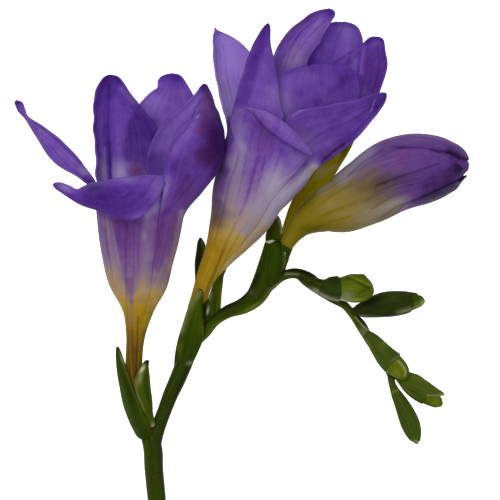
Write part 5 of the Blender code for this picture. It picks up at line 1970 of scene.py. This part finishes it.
def stem_grain(points, tubes):
    """Texture places round and along the run that each point lies on."""
    samples = []
    for number, tube in enumerate(tubes):
        s = np.linspace(0, 1, int(tube.length / 0.6) + 2)
        numbers = np.full(len(s), number)
        frames = [tube.line.at(s), tube.outward(s, 0 * s), tube.outward(s, 0 * s + 90)]
        samples.append(np.column_stack(frames + [s * tube.length, numbers, tube.radius.at(s)]))
    place, right, up, length, number, radius = np.split(np.concatenate(samples), [3, 6, 9, 10, 11], axis=1)
    nearest = np.empty(len(points), int)
    block_size = 4000
    for k in range(0, len(points), block_size):
        block = points[k:k + block_size]
        gaps = np.linalg.norm(block[:, None, :] - place[None], axis=2) - radius[:, 0]
        nearest[k:k + block_size] = gaps.argmin(axis=1)
    offset = points - place[nearest]
    turn = np.arctan2((offset * up[nearest]).sum(axis=1), (offset * right[nearest]).sum(axis=1))
    round_scale, along_scale = STEM_GRAIN
    across = round_scale * np.cos(turn) + 5.0 * number[nearest, 0]
    return np.stack([across, length[nearest, 0] * along_scale, round_scale * np.sin(turn)], axis=1)


def add_stem():
    """The stem's runs fused into one skin, then painted."""
    tubes = [photo_tube(run) for run in STEM_RUNS]
    shape = bmesh.new()
    for tube in tubes:
        join_rounds(shape, tube, STEM_MESH)
    fused = fused_mesh(shape)
    points = np.empty(len(fused.vertices) * 3)
    fused.vertices.foreach_get("co", points)
    points = points.reshape(-1, 3) / MM
    paint = painted(points, STEM_TINT, STEM_MARKS)
    for name, values in (("paint", paint), ("grain", stem_grain(points, tubes))):
        layer = fused.attributes.new(name, "FLOAT_VECTOR", "POINT")
        layer.data.foreach_set("vector", values.astype(np.float32).ravel())
    fused.name = "stem_fine"
    fused.shade_smooth()
    add_piece("stem_fine", fused, stem_skin, "stem")


for bloom in OPEN_BLOOMS:
    add_open_bloom(bloom)
for bloom in OPEN_BLOOMS:
    add_stamens(bloom)
add_right_bloom()
add_leaves()
add_buds()
add_stem()


# Table: it gives off a little light, so that the ground is as white as in the photo

TABLE_HALF = 2.0

table_shape = bmesh.new()
bmesh.ops.create_grid(table_shape, x_segments=1, y_segments=1, size=TABLE_HALF)
table = place_object("table", keep_mesh(table_shape, "table"))
table_white = bpy.data.materials.new("table_white")
table_white.use_nodes = True
table_paint = table_white.node_tree.nodes["Principled BSDF"]
table_paint.inputs["Base Color"].default_value = grey(0.72)
table_paint.inputs["Roughness"].default_value = 0.8
table_paint.inputs["Specular IOR Level"].default_value = 0.05
table_paint.inputs["Emission Color"].default_value = grey(1.0)
table_paint.inputs["Emission Strength"].default_value = 0.95
table.data.materials.append(table_white)


# Lights: places and sizes in metres, power in watts


def add_light(name, place, size, power):
    """A square light that faces the middle of the table."""
    light = bpy.data.lights.new(name, "AREA")
    light.size = size
    light.energy = power
    item = place_object(name, light)
    item.location = place
    item.rotation_euler = Vector(place).to_track_quat("Z", "Y").to_euler()


add_light("window_side", (-0.34, 0.36, 1.05), 0.9, 13.5)
add_light("right_fill", (0.5, -0.2, 0.95), 0.9, 6.5)

world = bpy.data.worlds.new("studio")
world.use_nodes = True
world.node_tree.nodes["Background"].inputs["Color"].default_value = grey(1.0)
world.node_tree.nodes["Background"].inputs["Strength"].default_value = 0.28
bpy.context.scene.world = world
bpy.context.scene.view_settings.view_transform = "Standard"

# Camera, straight above

lens = bpy.data.cameras.new("camera")
lens.lens = LENS
lens.sensor_width = SENSOR
lens.clip_end = 10.0
camera = place_object("camera", lens)
camera.location = (SHIFT_X * MM, SHIFT_Y * MM, CAMERA_HEIGHT * MM)
bpy.context.scene.camera = camera
